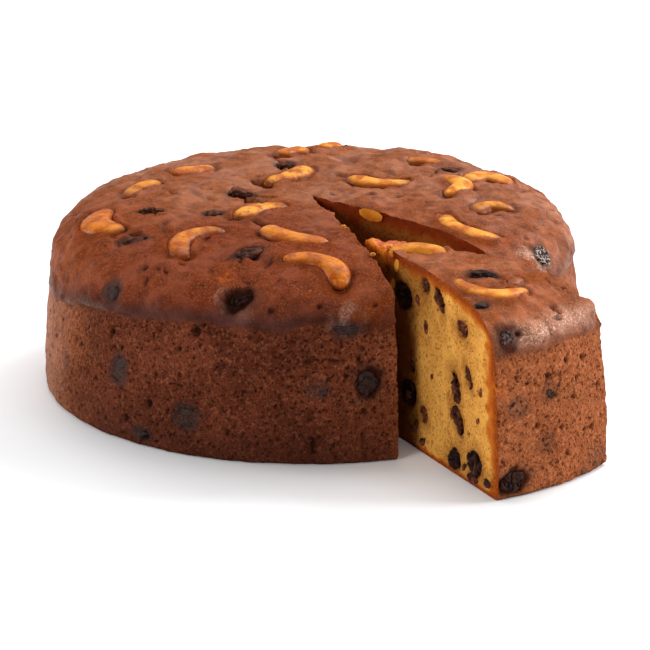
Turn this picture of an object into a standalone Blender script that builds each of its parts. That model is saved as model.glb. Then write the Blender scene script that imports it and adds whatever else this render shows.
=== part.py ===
"""Round fruit cake topped with cashews and raisins, with one wedge drawn half out of its notch.

Metres, +Z up. The origin is on the cake's axis, on the surface it stands on, and the wedge comes
out towards -Y. Bearings are in degrees round the axis, from -Y towards +X.
"""

import math

import bmesh
import bpy
from mathutils import Matrix, Vector, noise

# Cake body, as it left a round tin.
BASE_RADIUS = 0.100
BASE_EDGE = 0.002
WALL_TAPER = 0.0034
WALL_BULGE = 0.0010
CRUST_RIM_HEIGHT = 0.047
CRUST_RIM_PROUD = 0.0005
CRUST_RIM_LEDGE = 0.0015
SHOULDER_RADIUS = 0.097
SHOULDER_HEIGHT = 0.041
DOME_RISE = 0.030
DOME_FULLNESS = 3.75
CENTRE_DIP = 0.0025
TURN_STEPS = 44
DOME_STEPS = (5, 15, 29, 44, 59, 71, 80)
WALL_STEPS = 4

# Risen humps and hollows in the top crust: x, y, height and spread.
HUMPS = (
    (0.038, 0.070, 0.0030, 0.016),
    (0.024, 0.072, -0.0012, 0.008),
    (-0.060, 0.030, 0.0012, 0.014),
    (-0.018, -0.066, 0.0009, 0.012),
    (0.014, 0.053, -0.0016, 0.007),
    (0.066, -0.030, 0.0010, 0.014),
    (-0.030, 0.000, -0.0010, 0.014),
)
UNEVENNESS = 0.0007
UNEVEN_WAVELENGTH = 0.032
# Half the span over which a surface's slope is measured.
SLOPE_SPAN = 0.0005
# Edges that turn more sharply than this, in degrees, are shaded crisp.
CRISP_ANGLE = 40.0

# The knife's two cuts, and how the wedge between them was drawn out and turned.
CUT_APEX = Vector((0.0, 0.004, 0.0))
LEFT_CUT = 16.8
RIGHT_CUT = 45.9
WEDGE_OPENS = 1.4
WEDGE_MOVE = Vector((0.0177, -0.0483, 0.0))
WEDGE_TURN = 9.4
KNIFE_REACH = 0.160
KNIFE_FOOT = -0.010
KNIFE_HEIGHT = 0.120

# Clearance round everything set in the cake.
GAP = 0.0003

# Cashews: a bent, blunt-ended sausage, a little flattened and fatter at one end.
CASHEW_SIDES = 7
CASHEW_RINGS = 7
CASHEW_FLATTEN = 0.86
CASHEW_TAPER = 0.16
CASHEW_BLUNTNESS = 0.25
CASHEW_LEAST_BOW = 0.0004

# Raisins: a wrinkled bean, the half that shows pressed nearly flat.
RAISIN_SIDES = 6
RAISIN_RINGS = 5
RAISIN_WRINKLE = 0.10
# Wrinkle angles: how fast they change from point to point, and with a raisin's length in metres.
WRINKLE_TURN = 2.4
WRINKLE_SHIFT = 300.0
RAISIN_PROUD = 0.0008
RAISIN_ROOM = 0.0030
# A face within this sine of level has no level line of its own, so X is used.
NEARLY_LEVEL = 0.3

# Cashews lying in the cake's top: name, ends a and b, bow to the left of a-b, width,
# depth of the centreline below the crust, and fat end (1 is a, -1 is b, 0 is neither).
CAKE_CASHEWS = (
    ("cashew_left_slope", (-0.076, -0.006), (-0.069, -0.032), -0.0080, 0.0110, 0.0016, 0.0),
    ("cashew_left_rear", (-0.069, 0.007), (-0.057, 0.019), 0.0029, 0.0075, 0.0018, 0.0),
    ("cashew_left_far", (-0.054, 0.032), (-0.038, 0.044), -0.0022, 0.0085, 0.0024, 0.5),
    ("cashew_centre_rear", (-0.018, 0.022), (-0.001, 0.039), -0.0016, 0.0080, 0.0014, 0.0),
    ("cashew_centre", (-0.027, -0.023), (-0.009, -0.006), 0.0027, 0.0080, 0.0014, 0.4),
    ("cashew_front_centre", (-0.016, -0.039), (0.006, -0.055), -0.0061, 0.0085, 0.0010, 0.8),
    ("cashew_front", (-0.011, -0.074), (0.009, -0.089), 0.0078, 0.0080, 0.0009, -0.5),
    ("cashew_front_left", (-0.045, -0.063), (-0.031, -0.039), 0.0088, 0.0085, 0.0020, 0.9),
    ("cashew_far_edge_left", (-0.014, 0.058), (-0.001, 0.067), 0.0008, 0.0075, 0.0022, 0.0),
    ("cashew_far_edge", (0.003, 0.069), (0.012, 0.074), 0.0010, 0.0070, 0.0010, 0.0),
    ("cashew_right_centre", (0.015, 0.027), (0.037, 0.023), -0.0072, 0.0078, 0.0012, 0.8),
    ("cashew_right_far", (0.036, 0.050), (0.050, 0.048), 0.0010, 0.0065, 0.0024, 0.0),
    ("cashew_right_hook", (0.0485, 0.0245), (0.0490, 0.0040), 0.0072, 0.0080, 0.0012, 0.0),
    ("cashew_right_edge", (0.0620, 0.0205), (0.0745, 0.0220), 0.0100, 0.0085, 0.0014, 0.0),
    ("cashew_right_slope", (0.061, -0.017), (0.074, -0.012), 0.0065, 0.0080, 0.0018, 0.0),
    ("cashew_right_front", (0.050, -0.023), (0.068, -0.043), -0.0088, 0.0080, 0.0012, 0.7),
)
WEDGE_CASHEWS = (
    ("cashew_wedge", (0.0235, -0.0550), (0.0460, -0.0635), -0.0085, 0.0064, 0.0010, 0.0),
    ("cashew_wedge_tip", (0.040, -0.061), (0.047, -0.054), -0.0006, 0.0055, 0.0012, 0.0),
)
# One nut lies across the right cut and was cut in two with the cake.
HALVED_CASHEW = ((0.0080, -0.0175), (0.0260, -0.0250), 0.0045, 0.0090, 0.0016, 0.0)
# One nut stands on edge inside the wedge's point: where its two legs meet the left cut,
# as distance from the apex and height, and how deep it reaches in.
BURIED_LEGS = ((0.0273, 0.0640), (0.0243, 0.0565))
BURIED_REACH = 0.0062
BURIED_WIDTH = 0.0052
BURIED_PROUD = 0.0020

# Raisins in the top: name, x, y, length, width, depth, turn in degrees.
CAKE_TOP_RAISINS = (
    ("raisin_torn_crust", -0.0250, -0.0900, 0.0100, 0.0062, 0.007, 20),
    ("raisin_top_front", -0.0222, -0.0664, 0.0095, 0.0065, 0.006, 10),
    ("raisin_top_left", -0.0641, -0.0419, 0.0095, 0.0045, 0.005, 0),
    ("raisin_top_left_slit", -0.0594, -0.0132, 0.0085, 0.0040, 0.005, -15),
    ("raisin_top_centre", -0.0362, -0.0166, 0.0070, 0.0045, 0.005, 0),
    ("raisin_top_crack", -0.0262, 0.0095, 0.0100, 0.0050, 0.005, -10),
    ("raisin_top_rear", -0.0106, 0.0440, 0.0070, 0.0060, 0.005, 0),
    ("raisin_top_right", 0.0524, 0.0393, 0.0078, 0.0068, 0.006, 0),
)
WEDGE_TOP_RAISINS = (
    ("raisin_wedge_top", 0.0336, -0.0522, 0.0100, 0.0055, 0.005, -10),
    ("raisin_wedge_front", 0.0275, -0.0756, 0.0060, 0.0045, 0.004, 0),
)
# Raisins in the outer crust: name, bearing, height, length, width, depth, turn in degrees.
CAKE_SIDE_RAISINS = (
    ("raisin_shoulder_right", 63.5, 0.0590, 0.0090, 0.0075, 0.006, 10),
    ("raisin_shoulder_left", -48.4, 0.0535, 0.0080, 0.0060, 0.005, 30),
    ("raisin_side_left", -44.5, 0.0267, 0.0110, 0.0075, 0.005, 80),
    ("raisin_side_front", -26.7, 0.0150, 0.0095, 0.0090, 0.005, 0),
    ("raisin_side_right", 11.2, 0.0298, 0.0100, 0.0078, 0.006, 70),
    ("raisin_side_middle", 1.1, 0.0278, 0.0070, 0.0055, 0.004, 0),
    ("raisin_side_foot", -37.8, 0.0050, 0.0070, 0.0035, 0.004, 0),
    ("raisin_rim_patch", 7.1, 0.0490, 0.0095, 0.0050, 0.004, 0),
)
WEDGE_SIDE_RAISINS = (
    ("raisin_wedge_rim", 21.2, 0.0570, 0.0075, 0.0065, 0.005, 60),
    ("raisin_wedge_foot", 20.9, 0.0064, 0.0100, 0.0072, 0.006, 15),
    ("raisin_wedge_side_upper", 22.2, 0.0330, 0.0072, 0.0068, 0.005, 0),
    ("raisin_wedge_side_middle", 30.9, 0.0350, 0.0060, 0.0055, 0.004, 0),
    ("raisin_wedge_side_lower", 29.6, 0.0178, 0.0070, 0.0060, 0.004, 0),
)
# Raisins sliced flush at the wedge's left cut: name, distance from the apex, height,
# length, width, depth, turn in degrees from level.
CUT_RAISINS = (
    ("raisin_cut_inner_high", 0.0330, 0.0545, 0.0120, 0.0095, 0.005, 0),
    ("raisin_cut_under_crust", 0.0488, 0.0628, 0.0065, 0.0060, 0.004, 0),
    ("raisin_cut_long", 0.0600, 0.0602, 0.0105, 0.0032, 0.005, -55),
    ("raisin_cut_red", 0.0763, 0.0550, 0.0068, 0.0062, 0.005, 20),
    ("raisin_cut_middle", 0.0725, 0.0322, 0.0130, 0.0034, 0.005, -66),
    ("raisin_cut_middle_small", 0.0812, 0.0384, 0.0085, 0.0028, 0.005, -62),
    ("raisin_cut_low", 0.0735, 0.0200, 0.0120, 0.0056, 0.005, -60),
    ("raisin_cut_base_inner", 0.0715, 0.0052, 0.0080, 0.0072, 0.004, 80),
    ("raisin_cut_base_outer", 0.0855, 0.0085, 0.0095, 0.0085, 0.005, 75),
    ("raisin_cut_inner_low", 0.0475, 0.0145, 0.0058, 0.0046, 0.004, -60),
    ("raisin_cut_inner_middle", 0.0370, 0.0195, 0.0100, 0.0090, 0.005, 90),
)

COLOURS = {
    "crust": (0.27, 0.095, 0.045, 1.0),
    "crumb": (0.55, 0.30, 0.09, 1.0),
    "cashew": (0.72, 0.31, 0.07, 1.0),
    "raisin": (0.045, 0.020, 0.014, 1.0),
}
ROUGHNESS = {"crust": 0.55, "crumb": 0.85, "cashew": 0.35, "raisin": 0.45}


def clear_scene():
    """Start from an empty scene."""
    for obj in list(bpy.data.objects):
        bpy.data.objects.remove(obj, do_unlink=True)


def new_collection(name, hidden=False):
    """A collection in the scene; a hidden one holds cutters."""
    collection = bpy.data.collections.new(name)
    collection.hide_render = hidden
    bpy.context.scene.collection.children.link(collection)
    return collection


def principled(name, kind):
    """Principled material of one of the cake's four stuffs."""
    material = bpy.data.materials.new(name)
    material.use_nodes = True
    shader = material.node_tree.nodes["Principled BSDF"]
    shader.inputs["Base Color"].default_value = COLOURS[kind]
    shader.inputs["Roughness"].default_value = ROUGHNESS[kind]
    shader.inputs["Metallic"].default_value = 0.0
    return material


def direction(bearing):
    """Level unit vector at a bearing."""
    angle = math.radians(bearing)
    return Vector((math.sin(angle), -math.cos(angle), 0.0))


def dome_height(radius):
    """Height of the even dome at a distance from the axis."""
    share = min(radius / SHOULDER_RADIUS, 0.9999)
    rise = (1.0 - share**DOME_FULLNESS) ** (1.0 / DOME_FULLNESS)
    return SHOULDER_HEIGHT + DOME_RISE * rise - CENTRE_DIP * (1.0 - share**2) ** 2


def wall_radius(height):
    """Radius of the outer crust at a height: the tin's wall below the rim, the dome above it."""
    if height > CRUST_RIM_HEIGHT:
        share = (height - SHOULDER_HEIGHT) / DOME_RISE
        return SHOULDER_RADIUS * (1.0 - share**DOME_FULLNESS) ** (1.0 / DOME_FULLNESS)
    rise = max(height - BASE_EDGE, 0.0) / (CRUST_RIM_HEIGHT - BASE_EDGE)
    return BASE_RADIUS - WALL_TAPER * rise + WALL_BULGE * math.sin(math.pi * rise)


def unevenness(x, y):
    """How far the top stands above or below the even dome."""
    height = 0.0
    for hump_x, hump_y, hump_height, spread in HUMPS:
        square = ((x - hump_x) ** 2 + (y - hump_y) ** 2) / spread**2
        height += hump_height * math.exp(-square)
    wave = Vector((x, y, 0.0)) / UNEVEN_WAVELENGTH
    return height + UNEVENNESS * noise.noise(wave)


def top_point(x, y):
    """Point on the uneven top, with its outward normal."""

    def height(px, py):
        return dome_height(math.hypot(px, py)) + unevenness(px, py)

    rise_x = height(x + SLOPE_SPAN, y) - height(x - SLOPE_SPAN, y)
    rise_y = height(x, y + SLOPE_SPAN) - height(x, y - SLOPE_SPAN)
    normal = Vector((-rise_x, -rise_y, 2.0 * SLOPE_SPAN)).normalized()
    return Vector((x, y, height(x, y))), normal


def side_point(bearing, height):
    """Point on the outer crust, with its outward normal."""
    spread = wall_radius(height + SLOPE_SPAN) - wall_radius(height - SLOPE_SPAN)
    point = direction(bearing) * wall_radius(height) + Vector((0.0, 0.0, height))
    if height > CRUST_RIM_HEIGHT:
        share = min(1.0, (height - CRUST_RIM_HEIGHT) / DOME_RISE)
        point.z += unevenness(point.x, point.y) * share
    normal = direction(bearing) * 2.0 * SLOPE_SPAN - Vector((0.0, 0.0, spread))
    normal.normalize()
    return point, normal


def cake_profile():
    """Half outline of the cake, from the middle of the top down its outside to the middle of the base."""
    power = 2.0 / DOME_FULLNESS
    outline = [(0.0, dome_height(0.0))]
    for angle in DOME_STEPS:
        radius = SHOULDER_RADIUS * math.sin(math.radians(angle)) ** power
        outline.append((radius, dome_height(radius)))
    rim = wall_radius(CRUST_RIM_HEIGHT)
    outline.append((SHOULDER_RADIUS + CRUST_RIM_PROUD, CRUST_RIM_HEIGHT + CRUST_RIM_LEDGE))
    outline.append((rim, CRUST_RIM_HEIGHT - CRUST_RIM_PROUD))
    for step in range(1, WALL_STEPS + 1):
        height = CRUST_RIM_HEIGHT + (BASE_EDGE - CRUST_RIM_HEIGHT) * step / WALL_STEPS
        outline.append((wall_radius(height), height))
    outline.append((BASE_RADIUS - BASE_EDGE, 0.0))
    outline.append((0.0, 0.0))
    return outline


def turned_cake(name):
    """The whole uncut cake as one mesh: the outline turned round the axis, then its top made uneven."""
    mesh = bpy.data.meshes.new(name)
    shape = bmesh.new()
    points = [shape.verts.new((radius, 0.0, height)) for radius, height in cake_profile()]
    for first, second in zip(points, points[1:]):
        shape.edges.new((first, second))
    shape.to_mesh(mesh)
    shape.free()
    outline = bpy.data.objects.new(name + "_outline", mesh)
    bpy.context.scene.collection.objects.link(outline)
    screw = outline.modifiers.new("turn", "SCREW")
    screw.steps = TURN_STEPS
    screw.render_steps = TURN_STEPS
    screw.use_merge_vertices = True
    screw.merge_threshold = 0.00001
    graph = bpy.context.evaluated_depsgraph_get()
    turned = bpy.data.meshes.new_from_object(outline.evaluated_get(graph))
    bpy.data.objects.remove(outline, do_unlink=True)
    for vertex in turned.vertices:
        if vertex.co.z > CRUST_RIM_HEIGHT:
            share = min(1.0, (vertex.co.z - CRUST_RIM_HEIGHT) / (DOME_RISE / 2.0))
            vertex.co.z += unevenness(vertex.co.x, vertex.co.y) * share
    turned.name = name
    return turned


def shade_round(mesh):
    """Smooth shading, with the cut edges kept crisp."""
    mesh.shade_smooth()
    mesh.set_sharp_from_angle(angle=math.radians(CRISP_ANGLE))


def add_node(name, mesh, kind, collection, parent=None):
    """One piece of the cake as an object with its own material."""
    obj = bpy.data.objects.new(name, mesh)
    mesh.materials.clear()
    mesh.materials.append(principled(name, kind))
    shade_round(mesh)
    collection.objects.link(obj)
    obj.parent = parent
    return obj


def add_cutter(name, mesh, collection, parent=None):
    """A hidden helper that cuts room for a piece."""
    obj = bpy.data.objects.new(name, mesh)
    collection.objects.link(obj)
    obj.parent = parent
    obj.hide_render = True
    obj.display_type = "WIRE"
    return obj


def add_boolean(obj, name, operation, cutter):
    """Boolean against one mesh object or a collection of them."""
    modifier = obj.modifiers.new(name, "BOOLEAN")
    modifier.operation = operation
    modifier.solver = "EXACT"
    if isinstance(cutter, bpy.types.Collection):
        modifier.operand_type = "COLLECTION"
        modifier.collection = cutter
    else:
        modifier.object = cutter
    return modifier


def knife_prism(name, left, right):
    """Upright prism between two cuts from the apex, taller and longer than the cake."""
    foot = Vector((0.0, 0.0, KNIFE_FOOT))
    shape = bmesh.new()
    corners = [
        CUT_APEX,
        CUT_APEX + direction(left) * KNIFE_REACH,
        CUT_APEX + direction(right) * KNIFE_REACH,
    ]
    floor = shape.faces.new([shape.verts.new(corner + foot) for corner in corners])
    raised = bmesh.ops.extrude_face_region(shape, geom=[floor])
    top = [piece for piece in raised["geom"] if isinstance(piece, bmesh.types.BMVert)]
    bmesh.ops.translate(shape, verts=top, vec=(0.0, 0.0, KNIFE_HEIGHT))
    return to_mesh(shape, name)


def ball(sides, rings):
    """Unit ball with its poles on the X axis."""
    shape = bmesh.new()
    bmesh.ops.create_uvsphere(shape, u_segments=sides, v_segments=rings, radius=1.0)
    bmesh.ops.rotate(shape, verts=shape.verts, matrix=Matrix.Rotation(math.pi / 2.0, 3, "Y"))
    bmesh.ops.triangulate(shape, faces=shape.faces, quad_method="FIXED")
    return shape


def grow(shape, amount):
    """Push every point out along its normal, for the room round a piece."""
    shape.normal_update()
    moves = [(vertex, vertex.normal.copy()) for vertex in shape.verts]
    for vertex, normal in moves:
        vertex.co += normal * amount


def trim(shape, point, normal):
    """Cut off what lies beyond a plane, and close the cut."""
    geometry = shape.verts[:] + shape.edges[:] + shape.faces[:]
    cut = bmesh.ops.bisect_plane(
        shape, geom=geometry, dist=1e-6, plane_co=point, plane_no=normal, clear_outer=True
    )
    rim = [piece for piece in cut["geom_cut"] if isinstance(piece, bmesh.types.BMEdge)]
    bmesh.ops.contextual_create(shape, geom=rim)
    bmesh.ops.recalc_face_normals(shape, faces=shape.faces)


def to_mesh(shape, name):
    """Finish a bmesh as mesh data."""
    bmesh.ops.recalc_face_normals(shape, faces=shape.faces)
    mesh = bpy.data.meshes.new(name)
    shape.to_mesh(mesh)
    shape.free()
    return mesh


def bend_along(chord, bow, share):
    """Point and heading of an arc over a chord: (along, across), angle; share runs from -1 to 1."""
    bow = bow if abs(bow) > CASHEW_LEAST_BOW else CASHEW_LEAST_BOW
    radius = (chord**2 / 4.0 + bow**2) / (2.0 * abs(bow))
    half_angle = math.asin(min(1.0, chord / (2.0 * radius)))
    if abs(bow) > chord / 2.0:
        half_angle = math.pi - half_angle
    angle = share * half_angle
    side = 1.0 if bow > 0.0 else -1.0
    along = radius * math.sin(angle)
    across = side * (abs(bow) - radius + radius * math.cos(angle))
    return along, across, -side * angle


def cashew_shape(chord, bow, width, fat_end, place):
    """A cashew bent over its chord; place(along, across, up) gives each point's position."""
    shape = ball(CASHEW_SIDES, CASHEW_RINGS)
    for vertex in shape.verts:
        share = vertex.co.x
        roundness = math.hypot(vertex.co.y, vertex.co.z)
        blunt = roundness**-CASHEW_BLUNTNESS if roundness > 0.01 else 1.0
        half_width = blunt * (1.0 - CASHEW_TAPER * fat_end * share) * width / 2.0
        across_nut = vertex.co.y * half_width
        up = vertex.co.z * half_width * CASHEW_FLATTEN
        along, across, heading = bend_along(chord, bow, share)
        along -= math.sin(heading) * across_nut
        across += math.cos(heading) * across_nut
        vertex.co = place(along, across, up)
    shape.normal_update()
    return shape


def lying_on_top(end_a, end_b, depth):
    """Placement for a nut that lies in the top crust and follows its slope."""
    start = Vector((*end_a, 0.0))
    end = Vector((*end_b, 0.0))
    middle = (start + end) / 2.0
    forward = (end - start).normalized()
    leftward = Vector((-forward.y, forward.x, 0.0))

    def place(along, across, up):
        spot = middle + forward * along + leftward * across
        point, normal = top_point(spot.x, spot.y)
        return point + normal * (up - depth)

    return place, (end - start).length


def standing_in_wedge():
    """Placement for the nut on edge inside the wedge's point, its legs ending at the left cut."""
    outward = direction(LEFT_CUT - 90.0)
    ends = []
    for distance, height in BURIED_LEGS:
        ends.append(CUT_APEX + direction(LEFT_CUT) * distance + Vector((0.0, 0.0, height)))
    middle = (ends[0] + ends[1]) / 2.0 + outward * BURIED_PROUD
    forward = (ends[1] - ends[0]).normalized()
    side = outward.cross(forward)

    def place(along, across, up):
        return middle + forward * along - outward * across + side * up

    return place, (ends[1] - ends[0]).length


def raisin_shape(point, normal, length, width, depth, turn, height):
    """A wrinkled raisin set in a surface, its outer half as tall as height."""
    level = Vector((0.0, 0.0, 1.0)).cross(normal)
    if level.length < NEARLY_LEVEL:
        level = Vector((1.0, 0.0, 0.0))
    across = normal.cross(level).normalized()
    level = across.cross(normal).normalized()
    angle = math.radians(turn)
    long_axis = level * math.cos(angle) + across * math.sin(angle)
    short_axis = normal.cross(long_axis)
    shape = ball(RAISIN_SIDES, RAISIN_RINGS)
    for number, vertex in enumerate(shape.verts):
        wrinkle = 1.0 + RAISIN_WRINKLE * math.sin(WRINKLE_TURN * number + WRINKLE_SHIFT * length)
        u, v, w = vertex.co * wrinkle
        out = w * (height if w > 0.0 else depth)
        along = long_axis * u * length / 2.0
        vertex.co = point + along + short_axis * v * width / 2.0 + normal * out
    shape.normal_update()
    return shape


def add_room(name, shape, cutters, parent):
    """The cutter that makes room for a piece, with clearance all round it."""
    grow(shape, GAP)
    add_cutter(name + "_room", to_mesh(shape, name + "_room"), cutters, parent)


def add_cashews(rows, parts, cutters, parent):
    """The whole cashews of one body."""
    for name, end_a, end_b, bow, width, depth, fat_end in rows:
        place, chord = lying_on_top(end_a, end_b, depth)
        shape = cashew_shape(chord, bow, width, fat_end, place)
        add_room(name, shape.copy(), cutters, parent)
        add_node(name, to_mesh(shape, name), "cashew", parts, parent)


def add_halved_cashew(parts, cake_cutters, wedge_cutters, wedge_seat):
    """The nut that the right cut parted: one piece stays in the cake, one in the wedge."""
    end_a, end_b, bow, width, depth, fat_end = HALVED_CASHEW
    place, chord = lying_on_top(end_a, end_b, depth)
    pieces = (
        ("cashew_halved_cake", RIGHT_CUT, -1.0, cake_cutters, None),
        ("cashew_halved_wedge", RIGHT_CUT + WEDGE_OPENS, 1.0, wedge_cutters, wedge_seat),
    )
    for name, bearing, side, cutters, parent in pieces:
        shape = cashew_shape(chord, bow, width, fat_end, place)
        add_room(name, shape.copy(), cutters, parent)
        trim(shape, CUT_APEX, direction(bearing + 90.0) * side)
        add_node(name, to_mesh(shape, name), "cashew", parts, parent)


def add_buried_cashew(parts, cutters, parent):
    """The nut inside the wedge's point, whose two legs show as pale rounds at the left cut."""
    place, chord = standing_in_wedge()
    shape = cashew_shape(chord, BURIED_REACH, BURIED_WIDTH, 0.0, place)
    add_room("cashew_buried", shape.copy(), cutters, parent)
    trim(shape, CUT_APEX, direction(LEFT_CUT - 90.0))
    add_node("cashew_buried", to_mesh(shape, "cashew_buried"), "cashew", parts, parent)


def add_crust_raisins(surface_point, rows, parts, cutters, parent):
    """Raisins that show in the top or the outer crust, each placed by two numbers on that surface."""
    for name, first, second, length, width, depth, turn in rows:
        point, normal = surface_point(first, second)
        room = raisin_shape(point, normal, length, width, depth, turn, RAISIN_ROOM)
        add_room(name, room, cutters, parent)
        shape = raisin_shape(point, normal, length, width, depth, turn, RAISIN_PROUD)
        add_node(name, to_mesh(shape, name), "raisin", parts, parent)


def add_cut_raisins(parts, cutters, parent):
    """Raisins that the knife sliced, flush with the wedge's left cut."""
    outward = direction(LEFT_CUT - 90.0)
    for name, distance, height, length, width, depth, turn in CUT_RAISINS:
        point = CUT_APEX + direction(LEFT_CUT) * distance + Vector((0.0, 0.0, height))
        shape = raisin_shape(point, outward, length, width, depth, turn, depth)
        add_room(name, shape.copy(), cutters, parent)
        trim(shape, CUT_APEX, outward)
        add_node(name, to_mesh(shape, name), "raisin", parts, parent)


def seat_of_wedge(parts):
    """Empty that carries the wedge and its toppings: drawn out, and turned about the point."""
    seat = bpy.data.objects.new("wedge_seat", None)
    parts.objects.link(seat)
    turn = Matrix.Rotation(math.radians(WEDGE_TURN), 4, "Z")
    about_apex = Matrix.Translation(CUT_APEX) @ turn @ Matrix.Translation(-CUT_APEX)
    seat.matrix_world = Matrix.Translation(WEDGE_MOVE) @ about_apex
    return seat


def main():
    clear_scene()
    parts = new_collection("fruit_cake")
    cake_cutters = new_collection("cake_cutters", hidden=True)
    wedge_cutters = new_collection("wedge_cutters", hidden=True)
    knives = new_collection("knives", hidden=True)
    seat = seat_of_wedge(parts)

    body = turned_cake("cake")
    wedge_body = body.copy()
    cake = add_node("cake", body, "crust", parts)
    add_cutter("notch", knife_prism("notch", LEFT_CUT, RIGHT_CUT), cake_cutters)
    wedge = add_node("wedge", wedge_body, "crumb", parts, seat)
    blade = knife_prism("wedge_outline", LEFT_CUT, RIGHT_CUT + WEDGE_OPENS)
    outline = add_cutter("wedge_outline", blade, knives, seat)

    add_cashews(CAKE_CASHEWS, parts, cake_cutters, None)
    add_cashews(WEDGE_CASHEWS, parts, wedge_cutters, seat)
    add_halved_cashew(parts, cake_cutters, wedge_cutters, seat)
    add_buried_cashew(parts, wedge_cutters, seat)
    add_crust_raisins(top_point, CAKE_TOP_RAISINS, parts, cake_cutters, None)
    add_crust_raisins(top_point, WEDGE_TOP_RAISINS, parts, wedge_cutters, seat)
    add_crust_raisins(side_point, CAKE_SIDE_RAISINS, parts, cake_cutters, None)
    add_crust_raisins(side_point, WEDGE_SIDE_RAISINS, parts, wedge_cutters, seat)
    add_cut_raisins(parts, wedge_cutters, seat)

    add_boolean(cake, "notch_and_rooms", "DIFFERENCE", cake_cutters)
    add_boolean(wedge, "between_cuts", "INTERSECT", outline)
    add_boolean(wedge, "rooms", "DIFFERENCE", wedge_cutters)
    bpy.context.view_layer.update()


main()
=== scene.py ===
"""Finished look of a round fruit cake with one wedge drawn half out of its notch.

Metres, +Z up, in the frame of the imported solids. The rows that place humps, nuts, raisins, crumbs,
pits, cracks and the rim line are in millimetres. Bearings are in degrees round the cake's axis,
from the front (-Y) towards +X. Everything on the wedge is shaped where it was baked, in the uncut
cake, and is then drawn out with it.
"""

import math
import random

import bmesh
import bpy
import numpy as np
from mathutils import Matrix, Vector, noise


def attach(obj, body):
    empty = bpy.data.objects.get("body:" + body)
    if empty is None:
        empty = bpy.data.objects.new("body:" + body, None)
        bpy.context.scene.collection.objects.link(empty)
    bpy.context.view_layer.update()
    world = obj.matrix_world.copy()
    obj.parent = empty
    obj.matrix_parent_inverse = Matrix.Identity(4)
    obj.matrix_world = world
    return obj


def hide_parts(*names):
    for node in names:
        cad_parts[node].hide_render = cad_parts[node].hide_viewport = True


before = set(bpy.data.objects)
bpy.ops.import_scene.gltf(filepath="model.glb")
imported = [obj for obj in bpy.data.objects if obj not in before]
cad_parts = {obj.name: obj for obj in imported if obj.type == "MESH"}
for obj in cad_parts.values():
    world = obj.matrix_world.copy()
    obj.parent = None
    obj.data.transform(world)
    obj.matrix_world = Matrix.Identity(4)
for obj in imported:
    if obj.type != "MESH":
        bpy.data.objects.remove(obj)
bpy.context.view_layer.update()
MM = 0.001

# Cake body, as it left its tin.
BASE_RADIUS = 0.100
BASE_EDGE = 0.002
WALL_TAPER = 0.0034
WALL_BULGE = 0.0010
RIM_HEIGHT = 0.047
SHOULDER_RADIUS = 0.097
SHOULDER_HEIGHT = 0.041
DOME_RISE = 0.030
DOME_FULLNESS = 3.75
CENTRE_DIP = 0.0025
# Humps and hollows of the top: x, y, height and spread.
HUMPS = (
    (38.0, 70.0, 1.2, 16.0), (24.0, 72.0, -1.2, 8.0), (-60.0, 30.0, 1.2, 14.0), (-18.0, -66.0, 0.9, 12.0),
    (14.0, 53.0, -1.6, 7.0), (66.0, -30.0, 1.0, 14.0), (-30.0, 0.0, -1.0, 14.0),
)
UNEVENNESS = 0.0007
MIDDLE_REACH = 0.008
UNEVEN_WAVELENGTH = 0.032

# Cuts, and the wedge's way out.
APEX = np.array((0.0, 0.004, 0.0))
LEFT_CUT = 16.8
RIGHT_CUT = 45.9
WEDGE_OPENS = 1.4
WEDGE_MOVE = Vector((0.0177, -0.0483, 0.0))
WEDGE_TURN = 9.4

# Mesh fineness: along the top, along the wall, over the cut faces and under the base.
TOP_STEP = 0.00095
WALL_STEP = 0.00075
CUT_STEP = 0.00100
UNDER_STEP = 0.004
COARSER_BEHIND = 0.9
EVEN_ROUND_TOP = 900
CUT_ANGLE = 62.0

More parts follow.
